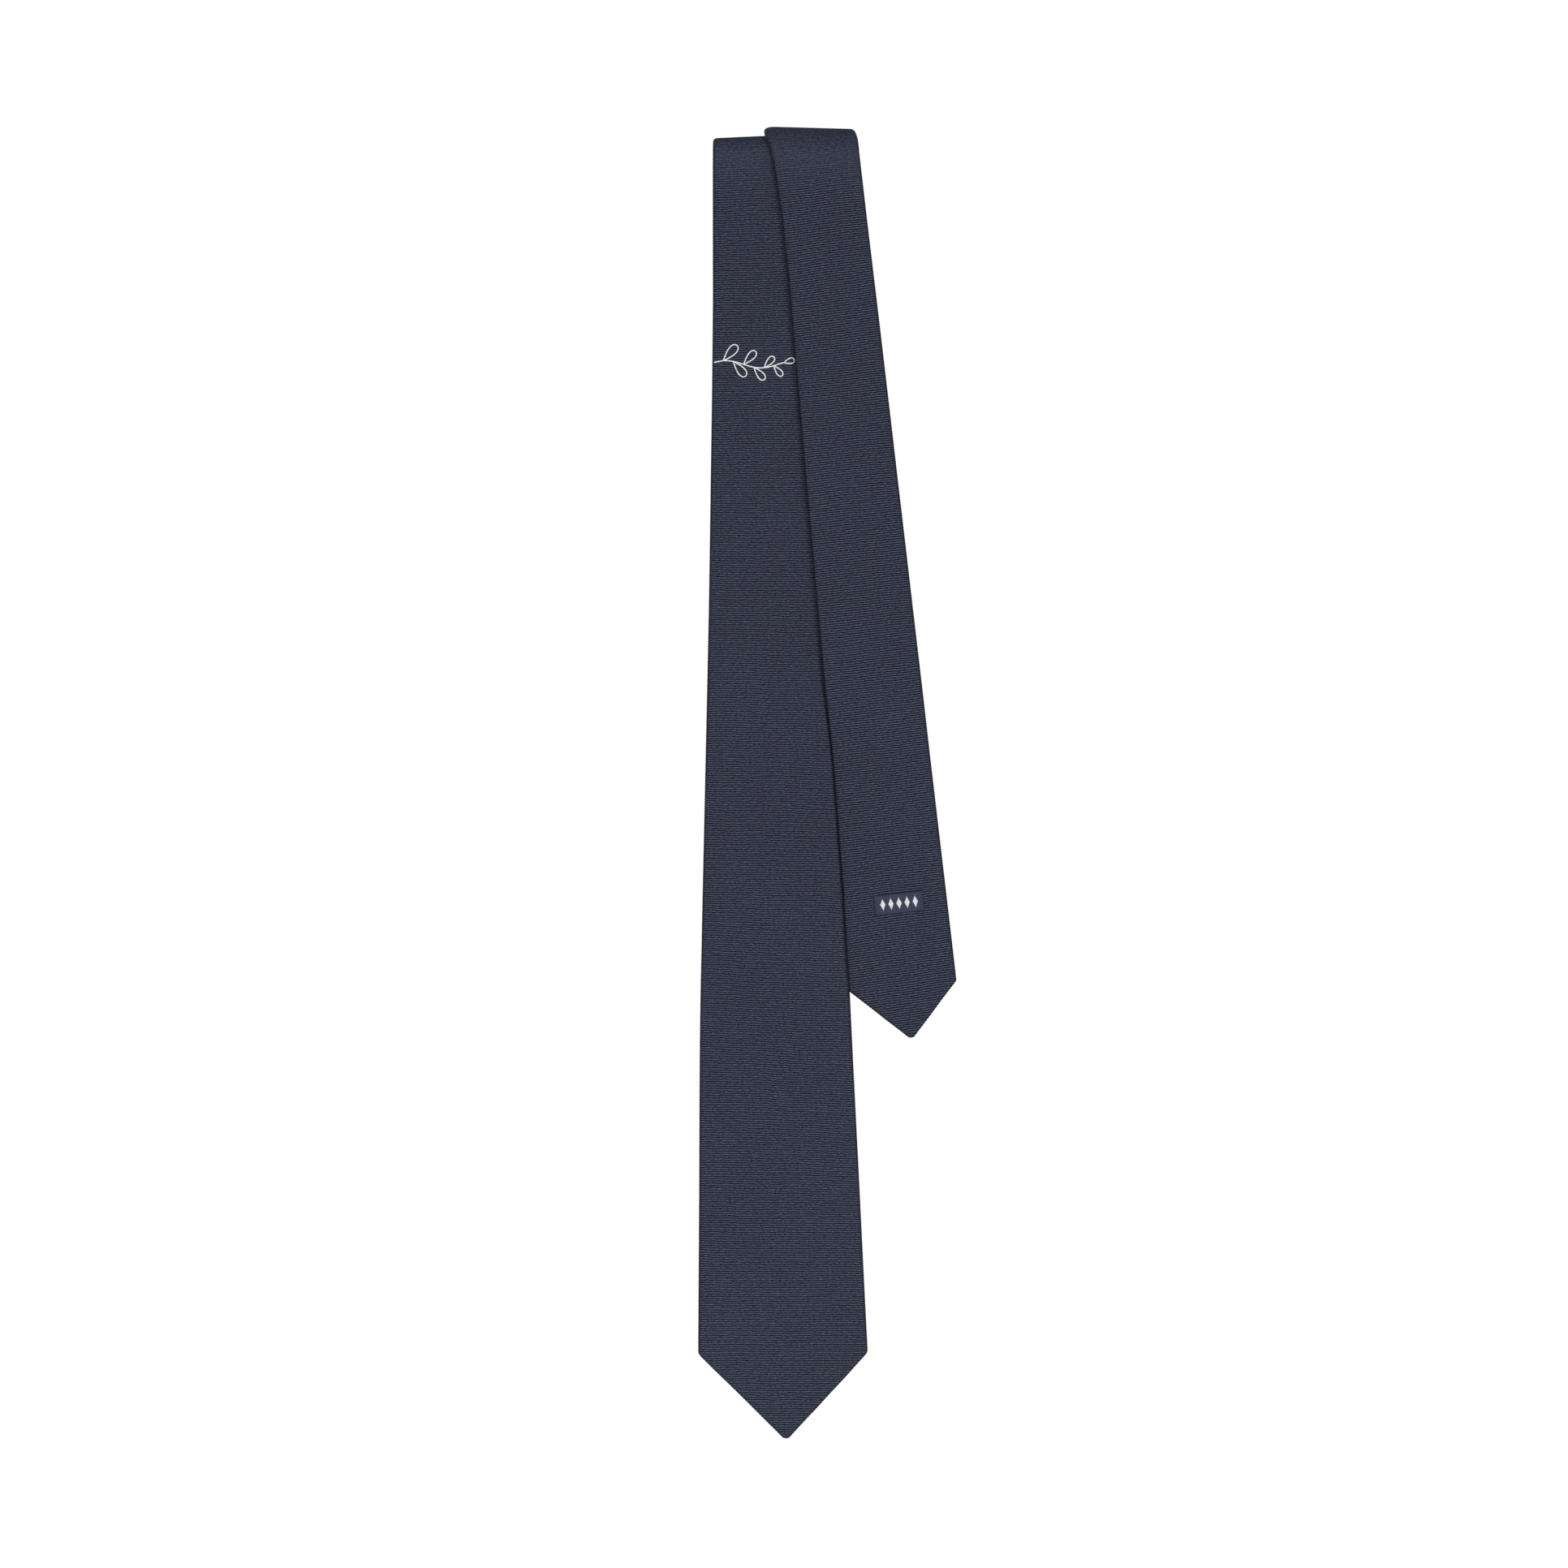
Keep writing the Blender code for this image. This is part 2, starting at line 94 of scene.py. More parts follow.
class Line:
    """A value over the length of a leg, from a table of (s, value), rounded by sigma mm."""

    G = 0.2

    def __init__(self, table, sigma):
        s, v = np.array(sorted(table), float).T
        self.s = np.arange(-560.0, 80.0, self.G)
        line = np.interp(self.s, s, v)
        low, high = self.s < s[0], self.s > s[-1]
        line[low] = v[0] + (self.s[low] - s[0]) * (v[1] - v[0]) / (s[1] - s[0])
        line[high] = v[-1]
        self.v = gauss(line, sigma / self.G)

    def corner(self, s_corner, s_tip, v_tip, sigma):
        """Below s_corner the line runs straight to the tip; the corner is rounded by sigma mm."""
        at = float(self(s_corner))
        low = self.s < s_corner
        self.v = np.where(low, at + (self.s - s_corner) * (v_tip - at) / (s_tip - s_corner), self.v)
        self.v = gauss(self.v, sigma / self.G)
        return self

    def __call__(self, s):
        return np.interp(s, self.s, self.v)


class Leg:
    """Outline, tilt of the ribs and depth of one panel: s is the length along it, 0 at the
    joint plane, down the leg below zero and over the rail above zero."""

    def __init__(self, left, right, sharp, round_tip, corner_l, corner_r, radius, depth, tilt, tack, hem, axis, corner_sigma, soft, arch):
        self.left = Line(left, 2.5).corner(corner_l, sharp[1], sharp[0], corner_sigma)
        self.right = Line(right, 2.5).corner(corner_r, sharp[1], sharp[0], corner_sigma)
        self.radius, self.depth, self.tilt, self.tack, self.hem = radius, depth, Line(tilt, 6.0), tack, hem
        self.corner = min(corner_l, corner_r)
        self.axis = Line(axis, 3.0)
        self.soft = soft  # how much rounder the left and right ends are over the rail
        self.arch = arch  # how much the fold stands up over the rail
        self.sharp = sharp
        near = np.array([sharp[1] + 6.0, sharp[1] + 7.0])
        hw = (self.right(near) - self.left(near)) / 2
        self.slope = float(hw[1] - hw[0])
        beta = math.atan(self.slope)
        self.centre = sharp[1] + round_tip / math.sin(beta)
        self.tangent = self.centre - round_tip * math.sin(beta)
        self.round = round_tip
        self.end = self.centre - round_tip

    def edges(self, s):
        """Left and right edges at the same height s, with the rounded tip."""
        a, b = self.left(s), self.right(s)
        m, hw = (a + b) / 2, (b - a) / 2
        tip = np.sqrt(np.clip(self.round**2 - (s - self.centre) ** 2, 1e-4, None))
        hw = np.where(s < self.tangent, tip, np.maximum(hw, 0.05))
        return m - hw, m + hw

    def steep(self, line, s):
        """How much longer the level distance is than the distance square to the edge."""
        return np.sqrt(1 + ((line(s + 0.6) - line(s - 0.6)) / 1.2) ** 2)

    def opening(self, s):
        a, b = self.edges(np.asarray(s, float))
        half = (b - a) / 2
        full = float((self.right(self.corner) - self.left(self.corner)) / 2) - self.hem
        o = np.where(s >= self.tack, SLIT, SLIT + (full - SLIT) * (self.tack - s) / (self.tack - self.corner))
        below = np.maximum(0.3, full - (self.corner - s) * self.slope)
        return np.where(s >= self.corner, o, below)

    def mid(self, s):
        a, b = self.edges(np.asarray(s, float))
        return (a + b) / 2


# ------------------------------------------------------------------ the two legs
def tail_depth(z):
    return -9.475 - 0.1 * ease(0, -15, z) + (-3.2 + 9.575) * ease(-212.0, -256.0, z)


def blade_depth(z):
    return -BLADE_R + 0.0 * np.asarray(z, float)


BLADE_LEFT = [(0, -30.27), (-60, -30.29), (-100, -30.68), (-130, -31.11), (-160, -31.51), (-190, -31.92), (-220, -32.53), (-250, -33.24), (-280, -33.93), (-320, -34.83), (-350, -35.48), (-370, -35.74), (-400, -35.86), (-430, -35.97), (-460, -36.13), (-485, -36.27), (-500, -36.38)]
BLADE_RIGHT = [(0, 9.8), (-71, 12.0), (-138.6, 13.7), (-199.5, 15.2), (-226.5, 17.0), (-253.6, 20.0), (-280.6, 22.0), (-307.7, 24.1), (-334.7, 25.7), (-349, 27.0), (-360, 27.52), (-380, 28.51), (-400, 29.52), (-430, 31.05), (-460, 32.53), (-485, 33.81), (-499.4, 34.55)]
TAIL_LEFT = [(0, -5.9), (-10.1, -4.15), (-23.6, -2.05), (-50.7, 1.0), (-104.8, 5.5), (-138.6, 8.45), (-199.5, 14.0), (-212, 15.2), (-222, 16.08), (-226, 16.56), (-230, 17.08), (-234, 17.52), (-238, 17.92), (-242, 18.28), (-246, 18.65), (-250, 18.95), (-256, 19.4), (-280.6, 21.3), (-307.7, 23.4), (-334.7, 24.9), (-347.8, 25.75)]
TAIL_RIGHT = [(0, 31.1), (-343.9, 71.5)]
BLADE_LEFT += [(18.0, -29.85), (75.0, -29.85)]
BLADE_RIGHT += [(18.0, 8.75), (75.0, 8.75)]
TAIL_LEFT += [(1.5, -6.35), (5.3, -7.5), (7.6, -8.7), (10.0, -8.95), (14.9, -8.9), (21.0, -8.6), (29.8, -8.2), (75.0, -8.2)]
TAIL_RIGHT += [(2.5, 30.8), (5.0, 30.65), (6.5, 30.5), (8.8, 29.95), (11.0, 29.35), (14.9, 28.95), (18.8, 29.3), (22.0, 29.8), (26.0, 30.25), (29.8, 30.4), (75.0, 30.4)]

blade = Leg(
    BLADE_LEFT, BLADE_RIGHT, (0.42, -536.3), 2.6, -500.0, -499.4, BLADE_R, blade_depth,
    [(60, 0), (18, 0), (0, 0.6), (-13.5, 1.2), (-47.3, 2.2), (-131.8, -0.3), (-213, -0.6), (-280.6, -0.9), (-385.5, -2.0), (-468.3, 0), (-540, 0.2)],
    BLADE_TACK, BLADE_HEM, [(60, -10.5), (0, -10.2), (-250, -7.0), (-497, -1.0), (-540, 0.42)], 0.8, (1.0, 1.2), 1.063,
)
tail = Leg(
    TAIL_LEFT, TAIL_RIGHT, (52.91, -369.1), 2.3, -348.1, -344.5, TAIL_R, tail_depth,
    [(70, 0), (22, 0.4), (12, 2.2), (0, 4.6), (-13.5, 6.2), (-47.3, 7.4), (-118.3, 5.5), (-186, 5.4), (-253.6, 6.2), (-331.3, 7.3), (-370, 7.4)],
    TAIL_TACK, TAIL_HEM, [(70, 11.1), (20, 11.2), (0, 12.5), (-343.9, 48.9), (-368.2, 52.9)], 0.45, (2.2, 1.3), 1.05,
)


# ------------------------------------------------------------------ meshes
def build(name, verts, quads, tris, cloth, material):
    mesh = bpy.data.meshes.new(name)
    faces = [q for q in quads.tolist()] + [t for t in tris.tolist()]
    mesh.from_pydata((verts * MM).tolist(), [], faces)
    corners = verts[np.concatenate([quads[:, [0, 1, 2]], quads[:, [0, 2, 3]], tris])]
    if np.linalg.det(corners).sum() < 0:
        mesh.flip_normals()
    field = mesh.attributes.new("cloth", "FLOAT_VECTOR", "POINT")
    field.data.foreach_set("vector", np.ascontiguousarray(cloth, np.float32).ravel())
    mesh.shade_smooth()
    mesh.materials.append(material)
    obj = bpy.data.objects.new(name, mesh)
    bpy.context.scene.collection.objects.link(obj)
    return obj


def lap_faces(rows, cols, base):
    """Quads of a grid of rows x cols points whose first index is base."""
    i = (np.arange(rows - 1)[:, None] * cols + np.arange(cols - 1)[None, :]).ravel() + base
    return np.stack([i, i + cols, i + cols + 1, i + 1], axis=1)


def sheet_mesh(name, outer, inner, cloth_o, cloth_i, material):
    """One closed sheet of cloth: a fine outer face, a coarser inner face and the rims between."""
    R, C = outer.shape[:2]
    r = inner.shape[0]
    k = (R - 1) // (r - 1)
    base = R * C
    quads = [lap_faces(R, C, 0), lap_faces(r, C, base)[:, ::-1]]
    tris = []
    for col, flip in ((0, False), (C - 1, True)):
        o = np.arange(R) * C + col
        n = base + np.arange(r) * C + col
        for j in range(r - 1):
            h = k // 2
            for i in range(k):
                t = (o[j * k + i + 1], o[j * k + i], n[j] if i < h else n[j + 1])
                tris.append(t[::-1] if flip else t)
            t = (n[j], n[j + 1], o[j * k + h])
            tris.append(t[::-1] if flip else t)
    c = np.arange(C - 1)
    quads.append(np.stack([c, c + 1, base + c + 1, base + c], axis=1))
    o, n = (R - 1) * C + c, base + (r - 1) * C + c
    quads.append(np.stack([o + 1, o, n, n + 1], axis=1))
    verts = np.concatenate([outer.reshape(-1, 3), inner.reshape(-1, 3)])
    cloth = np.concatenate([cloth_o.reshape(-1, 3), cloth_i.reshape(-1, 3)])
    return build(name, verts, np.concatenate(quads), np.array(tris), cloth, material)


def section(xl, xr, m_l, m_r, o_l, o_r, hl, hr, h, lap, wraps=8, fronts=11):
    """The shell's section for every row, from the back edge of the right flap round the front
    to the back edge of the left flap: across, outward and the normal of each point."""
    cols = []

    def put(u, n, nu, nn):
        cols.append(np.stack([u, n + 0 * u, nu + 0 * u, nn + 0 * u], axis=-1))

    rise, reach = 0.40 * lap, 1.5 * lap
    ro, lo = m_r + o_r - reach, m_l - o_l
    fr, fl = xr - hr, xl + hl
    put(ro, -h + 0.38 * np.minimum(1, h) - rise, -1.0, 0.0)
    put(ro + 0.08, -h + 0.03 - rise, -0.7, -0.7)
    for f, up in ((0.04, 1.0), (0.34, 0.2)):
        put(ro + (fr - ro) * f, -h - rise * up, 0.0, -1.0)
    for i in range(wraps):
        a = math.radians(-90 + 180 * i / (wraps - 1))
        put(fr + hr * math.cos(a), h * math.sin(a), math.cos(a), math.sin(a))
    for i in range(1, fronts + 1):
        put(fr + (fl - fr) * i / (fronts + 1), h, 0.0, 1.0)
    for i in range(wraps):
        a = math.radians(90 + 180 * i / (wraps - 1))
        put(fl + hl * math.cos(a), h * math.sin(a), math.cos(a), math.sin(a))
    for f in (0.66, 0.97):
        put(fl + (lo - fl) * f, -h, 0.0, -1.0)
    put(lo - 0.08, -h + 0.03, 0.7, -0.7)
    put(lo, -h + 0.38 * np.minimum(1, h), 1.0, 0.0)
    return np.stack(cols, axis=1)


def rib_profile(v):
    """Height of the rib at rib coordinate v: a round ridge between narrow grooves."""
    return RIB * (np.abs(np.sin(np.pi * v)) - 1.0)


def bend(X, S, n, leg, thin_from, thin_to):
    """Flat coordinates of a leg to space: straight down in front, round the rail, down behind."""
    R = leg.radius
    phi = np.clip(S / R, 0, math.pi)
    thin = np.clip((X - thin_from) / (thin_to - thin_from), 0, 1) * np.sin(phi) ** 2
    n = -H + (n + H) * (1 - 0.27 * thin)
    y = np.where(S <= 0, leg.depth(np.minimum(S, 0)) - n, np.where(S >= math.pi * R, R + n, -(R + n) * np.cos(phi)))
    z = np.where(S <= 0, S, np.where(S >= math.pi * R, math.pi * R - S, leg.arch * (R + n) * np.sin(phi)))
    return np.stack([X, y, z], axis=-1)


def leg_panel(leg, top, rows, seed, thin_from, thin_to, lap_to, first=0, wraps=8, fronts=11):
    """Grids of one ribbed shell panel: rows go down from top in quarter ribs."""
    v = (np.arange(rows + 1) + first) / 4.0
    S0 = top - np.arange(rows + 1) * STEP
    tan = np.tan(np.radians(leg.tilt(S0)))
    xm = leg.axis(S0)
    zr, zl = S0.copy(), S0.copy()
    for _ in range(6):
        zr = S0 + tan * (leg.edges(zr)[1] - xm)
        zl = S0 + tan * (leg.edges(zl)[0] - xm)
    floor = leg.end + 0.02
    zr, zl = np.maximum(zr, floor), np.maximum(zl, floor)
    xr, xl = leg.edges(zr)[1], leg.edges(zl)[0]
    cross = xl > xr - 0.2
    centre = (xl + xr) / 2
    xl, xr = np.where(cross, centre - 0.1, xl), np.where(cross, centre + 0.1, xr)
    hw = (xr - xl) / 2
    over = np.clip((leg.end + H - S0) / H, 0, 0.995)
    h = H * np.sqrt(1 - over**2)
    hr = np.minimum(H * leg.steep(leg.right, zr), 0.55 * hw)
    hl = np.minimum(H * leg.steep(leg.left, zl), 0.55 * hw)
    roll = ease(-7.0, 4.0, S0)
    hr, hl = hr * (1 + (leg.soft[1] - 1) * roll), hl * (1 + (leg.soft[0] - 1) * roll)
    back_r = np.maximum(S0 + tan * (2 * xr - centre - xm + 1.9), floor)
    back_l = np.maximum(S0 + tan * (2 * xl - centre - xm - 1.9), floor)
    m_r, m_l = leg.mid(back_r), leg.mid(back_l)
    near_tip = ease(leg.end + 9.0, leg.end + 3.0, S0)
    m_r, m_l = m_r + (centre - m_r) * near_tip, m_l + (centre - m_l) * near_tip
    o_r = np.minimum(leg.opening(back_r), np.maximum(0.2 * hw, xr - hr - 1.2 - m_r))
    o_l = np.minimum(leg.opening(back_l), np.maximum(0.2 * hw, m_l - xl - hl - 1.2))
    lap = ease(leg.tack - 3.0, leg.tack + 4.0, S0) * ease(lap_to + 2.0, lap_to - 6.0, S0)
    sec = section(xl, xr, m_l, m_r, o_l, o_r, hl, hr, h, lap, wraps, fronts)
    U, N, NU, NN = (sec[..., i] for i in range(4))
    run = np.concatenate([np.zeros((len(S0), 1)), np.cumsum(np.hypot(np.diff(U, axis=1), np.diff(N, axis=1)), axis=1)], axis=1)
    mid_col = U.shape[1] // 2
    arc = -(run - run[:, mid_col : mid_col + 1]) + (U[:, mid_col] - xm)[:, None]
    fade = ease(leg.end + 1.5, leg.end + 14.0, S0)[:, None]
    S = S0[:, None] + tan[:, None] * arc + 0.24 * fade * drift(arc, S0[:, None], seed)
    S = np.maximum(S, leg.end + 0.01)
    soft = 0.07 * drift(arc * 0.6, S0[:, None] * 0.5, seed + 1.3) * fade
    lift = rib_profile(v)[:, None] * np.clip(h / H, 0, 1)[:, None]
    Uo = U + NU * (lift + soft)
    No = N + NN * (lift + soft)
    outer = bend(Uo, S, No, leg, thin_from, thin_to)
    t = (CLOTH * np.clip(h / H, 0.12, 1))[:, None] + RIB
    t = np.minimum(t, 0.45 * hw[:, None])
    Ui, Ni = U - NU * t, N - NN * t
    inner = bend(Ui, S, Ni, leg, thin_from, thin_to)[::8]
    e = np.minimum(arc - arc.min(axis=1, keepdims=True), arc.max(axis=1, keepdims=True) - arc)
    # painted shade: edge peaks at the rolled left and right edges of the panel and darkens the faille's colour there
    edge = np.exp(-((np.minimum(np.abs(Uo - xl[:, None]), np.abs(Uo - xr[:, None])) / 0.95) ** 2))
    cloth_o = np.stack([arc, np.repeat(v[:, None], arc.shape[1], axis=1), edge], axis=-1)
    cloth_i = cloth_o[::8].copy()
    cloth_i[..., 2] = 0
    return outer, inner, cloth_o, cloth_i


# ------------------------------------------------------------------ materials
class Nodes:
    """A short way to write a node tree."""

    def __init__(self, name):
        self.mat = bpy.data.materials.new(name)
        self.mat.use_nodes = True
        self.tree = self.mat.node_tree
        self.shader = self.tree.nodes["Principled BSDF"]

    def add(self, kind, **settings):
        node = self.tree.nodes.new(kind)
        for key, value in settings.items():
            setattr(node, key, value)
        return node

    def link(self, source, target):
        self.tree.links.new(source, target)

    def feed(self, socket, value):
        if isinstance(value, (int, float)):
            socket.default_value = value
        elif isinstance(value, (tuple, list)):
            socket.default_value = (*value, 1.0) if len(socket.default_value) == 4 and len(value) == 3 else value
        else:
            self.link(value, socket)

    def math(self, operation, a, b=None, clamp=False):
        node = self.add("ShaderNodeMath", operation=operation, use_clamp=clamp)
        self.feed(node.inputs[0], a)
        if b is not None:
            self.feed(node.inputs[1], b)
        return node.outputs[0]

    def ramp(self, value, low, high, to_low=0.0, to_high=1.0, smooth=True):
        node = self.add("ShaderNodeMapRange")
        node.interpolation_type = "SMOOTHSTEP" if smooth else "LINEAR"
        self.feed(node.inputs["Value"], value)
        node.inputs["From Min"].default_value = low
        node.inputs["From Max"].default_value = high
        node.inputs["To Min"].default_value = to_low
        node.inputs["To Max"].default_value = to_high
        return node.outputs["Result"]

    def mix(self, factor, a, b, blend="MIX"):
        node = self.add("ShaderNodeMix", data_type="RGBA", blend_type=blend)
        self.feed(node.inputs[0], factor)
        self.feed(node.inputs[6], a)
        self.feed(node.inputs[7], b)
        return node.outputs[2]

    def vector(self, x, y, z):
        node = self.add("ShaderNodeCombineXYZ")
        for socket, value in zip(node.inputs, (x, y, z)):
            self.feed(socket, value)
        return node.outputs[0]

    def noise(self, vector, scale, detail=2.0, rough=0.5):
        node = self.add("ShaderNodeTexNoise")
        self.feed(node.inputs["Vector"], vector)
        node.inputs["Scale"].default_value = scale
        node.inputs["Detail"].default_value = detail
        node.inputs["Roughness"].default_value = rough
        return node.outputs["Fac"]

    def cloth(self):
        split = self.add("ShaderNodeSeparateXYZ")
        self.link(self.add("ShaderNodeAttribute", attribute_name="cloth").outputs["Vector"], split.inputs[0])
        return split.outputs

    def scale(self, colour, factor):
        """Colour times a number."""
        node = self.add("ShaderNodeVectorMath", operation="SCALE")
        self.feed(node.inputs[0], colour)
        self.feed(node.inputs["Scale"], factor)
        return node.outputs[0]

    def bump(self, height, strength, distance):
        node = self.add("ShaderNodeBump")
        node.inputs["Strength"].default_value = strength
        node.inputs["Distance"].default_value = distance
        self.link(height, node.inputs["Height"])
        self.link(node.outputs[0], self.shader.inputs["Normal"])

    def set(self, **values):
        for key, value in values.items():
            self.shader.inputs[key.replace("_", " ")].default_value = value


def faille(name, seed, crest=(0.0478, 0.0530, 0.0860), groove_shade=(0.0022, 0.0032, 0.0108)):
    """Crosswise ribbed silk: round ribs wrapped by fine warp threads, with painted shade in the grooves, painted
    highlight on the rib crests and painted shade along the rolled edges.
    """
    n = Nodes(name)
    across, along, edge = n.cloth()
    sway = n.noise(n.vector(n.math("MULTIPLY", across, 0.33), n.math("MULTIPLY", along, 0.21), seed + 6.0), 1.0, 2.0, 0.6)
    line = n.math("ADD", along, n.ramp(sway, 0.2, 0.8, -0.16, 0.16, smooth=False))
    rough = n.noise(n.vector(n.math("MULTIPLY", across, 0.85), n.math("MULTIPLY", along, 0.62), seed + 2.0), 1.0, 1.0, 0.5)
    line = n.math("ADD", line, n.ramp(rough, 0.25, 0.75, -0.13, 0.13, smooth=False))
    phase = n.math("FRACT", line)
    index = n.math("FLOOR", line)
    ridge = n.math("SINE", n.math("MULTIPLY", phase, math.pi))
    crown = n.ramp(ridge, 0.36, 1.0)
    place = n.add("ShaderNodeSeparateXYZ")
    n.link(space(n), place.inputs[0])
    # near the top of the fold the painted rib shade and highlight fade to an even middle tone
    over = n.ramp(place.outputs[2], -20.0, 4.0, 0.0, 0.85)
    crown = n.math("ADD", n.math("MULTIPLY", crown, n.math("SUBTRACT", 1.0, over)), n.math("MULTIPLY", over, 0.60))
    slub = n.noise(n.vector(n.math("MULTIPLY", across, 0.55), n.math("MULTIPLY", index, 3.71), seed), 1.0, 3.0, 0.7)
    grain = n.noise(n.vector(n.math("MULTIPLY", across, 0.95), n.math("MULTIPLY", line, 1.15), seed), 1.0, 3.0, 0.75)
    warp = n.math("SINE", n.math("MULTIPLY", n.math("ADD", across, n.math("MULTIPLY", grain, 0.12)), 2 * math.pi / 0.26))
    cloud = n.noise(n.vector(n.math("MULTIPLY", across, 0.03), n.math("MULTIPLY", along, 0.022), seed + 3.0), 1.0, 2.0)
    level = n.math("MULTIPLY", n.ramp(slub, 0.28, 0.72, 0.93, 1.07), n.ramp(grain, 0.28, 0.72, 0.46, 1.58))
    level = n.math("MULTIPLY", level, n.ramp(cloud, 0.2, 0.8, 0.96, 1.04))
    level = n.math("MULTIPLY", level, n.math("ADD", 1.0, n.math("MULTIPLY", warp, 0.10)))
    # painted shade: the colour darkens to about a quarter at the rolled edges, standing in for the fall-off of light
    # and the contact shadow there
    level = n.math("MULTIPLY", level, n.ramp(edge, 0.10, 0.95, 1.0, 0.24))
    # painted shade and highlight: the rib coordinate mixes the near-black groove shade colour into the grooves and the
    # lighter crest colour onto the rib tops
    colour = n.mix(crown, groove_shade, crest)
    # painted glint: small pale spots on the rib crests stand in for the silk's highlights
    painted_glint = n.ramp(n.noise(n.vector(n.math("MULTIPLY", across, 1.5), n.math("MULTIPLY", line, 1.7), seed + 9.0), 1.0, 1.0), 0.64, 0.80)
    colour = n.mix(n.math("MULTIPLY", n.math("MULTIPLY", painted_glint, crown), 0.40), colour, (0.112, 0.120, 0.158))
    n.link(n.scale(colour, level), n.shader.inputs["Base Color"])
    n.link(n.ramp(crown, 0.0, 1.0, 0.80, 0.60), n.shader.inputs["Roughness"])
    n.set(Specular_IOR_Level=0.14, Sheen_Weight=0.03, Sheen_Roughness=0.45)
    n.shader.inputs["Sheen Tint"].default_value = (0.55, 0.62, 0.85, 1.0)
    height = n.math("ADD", n.math("MULTIPLY", n.math("MULTIPLY", warp, crown), 0.5), n.math("MULTIPLY", grain, 1.1))
    n.bump(height, 0.5, 0.00005)
    return n.mat


def satin(name, base=(0.011, 0.013, 0.034), seed=0.0):
    """Smooth satin lining with a fine slanting twill line."""
    n = Nodes(name)
    across, along, edge = n.cloth()
    slant = n.math("ADD", across, n.math("MULTIPLY", along, 0.9))
    line = n.math("SINE", n.math("MULTIPLY", slant, 2 * math.pi / 0.45))
    cloud = n.noise(n.vector(n.math("MULTIPLY", across, 0.09), n.math("MULTIPLY", along, 0.05), seed), 1.0, 3.0)
    thread = n.noise(n.vector(n.math("MULTIPLY", across, 3.5), n.math("MULTIPLY", along, 0.5), seed + 4), 1.0, 2.0)
    level = n.math("MULTIPLY", n.ramp(cloud, 0.25, 0.75, 0.82, 1.2), n.ramp(thread, 0.3, 0.7, 0.85, 1.15))
    level = n.math("MULTIPLY", level, n.math("ADD", 1.0, n.math("MULTIPLY", line, 0.14)))
    n.link(n.scale(base, level), n.shader.inputs["Base Color"])
    n.link(n.ramp(thread, 0.3, 0.7, 0.34, 0.46), n.shader.inputs["Roughness"])
    n.set(Specular_IOR_Level=0.35, Anisotropic=0.5, Sheen_Weight=0.02)
    n.bump(n.math("ADD", line, n.math("MULTIPLY", thread, 1.5)), 0.35, 0.00003)
    return n.mat


def space(n):
    """Position in the object, in millimetres."""
    node = n.add("ShaderNodeVectorMath", operation="SCALE")
    n.link(n.add("ShaderNodeTexCoord").outputs["Object"], node.inputs[0])
    node.inputs["Scale"].default_value = 1000.0
    return node.outputs[0]


def thread(name, base, twist=0.55, rough=0.5):
    """Twisted sewing thread, for pieces with or without the cloth field."""
    n = Nodes(name)
    place = space(n)
    split = n.add("ShaderNodeSeparateXYZ")
    n.link(place, split.inputs[0])
    x, y, z = split.outputs
    lay = n.math("ADD", n.math("ADD", x, n.math("MULTIPLY", z, 0.8)), n.math("MULTIPLY", y, 1.3))
    ply = n.math("SINE", n.math("MULTIPLY", lay, 2 * math.pi / twist))
    fuzz = n.noise(place, 6.0, 3.0, 0.65)
    level = n.math("MULTIPLY", n.ramp(ply, -1.0, 1.0, 0.72, 1.12), n.ramp(fuzz, 0.25, 0.75, 0.85, 1.15))
    n.link(n.scale(base, level), n.shader.inputs["Base Color"])
    n.link(n.ramp(fuzz, 0.3, 0.7, rough - 0.08, rough + 0.08), n.shader.inputs["Roughness"])
    n.set(Sheen_Weight=0.15, Sheen_Roughness=0.4, Specular_IOR_Level=0.45)
    n.bump(n.math("ADD", ply, n.math("MULTIPLY", fuzz, 0.8)), 0.5, 0.00006)
    return n.mat


def canvas(name, base=(0.62, 0.58, 0.50)):
    """Brushed wool and cotton interlining: a plain open weave under a soft nap."""
    n = Nodes(name)
    place = space(n)
    split = n.add("ShaderNodeSeparateXYZ")
    n.link(place, split.inputs[0])
    x, y, z = split.outputs
    warp = n.math("SINE", n.math("MULTIPLY", x, 2 * math.pi / 0.9))
    weft = n.math("SINE", n.math("MULTIPLY", z, 2 * math.pi / 0.9))
    weave = n.math("MULTIPLY", warp, weft)
    nap = n.noise(place, 1.6, 4.0, 0.7)
    level = n.math("MULTIPLY", n.ramp(weave, -1, 1, 0.86, 1.08), n.ramp(nap, 0.2, 0.8, 0.78, 1.15))
    n.link(n.scale(base, level), n.shader.inputs["Base Color"])
    n.link(n.ramp(nap, 0.2, 0.8, 0.82, 0.97), n.shader.inputs["Roughness"])
    n.set(Sheen_Weight=0.3, Sheen_Roughness=0.7, Specular_IOR_Level=0.2)
    n.bump(n.math("ADD", weave, n.math("MULTIPLY", nap, 2.0)), 0.6, 0.00015)
    return n.mat


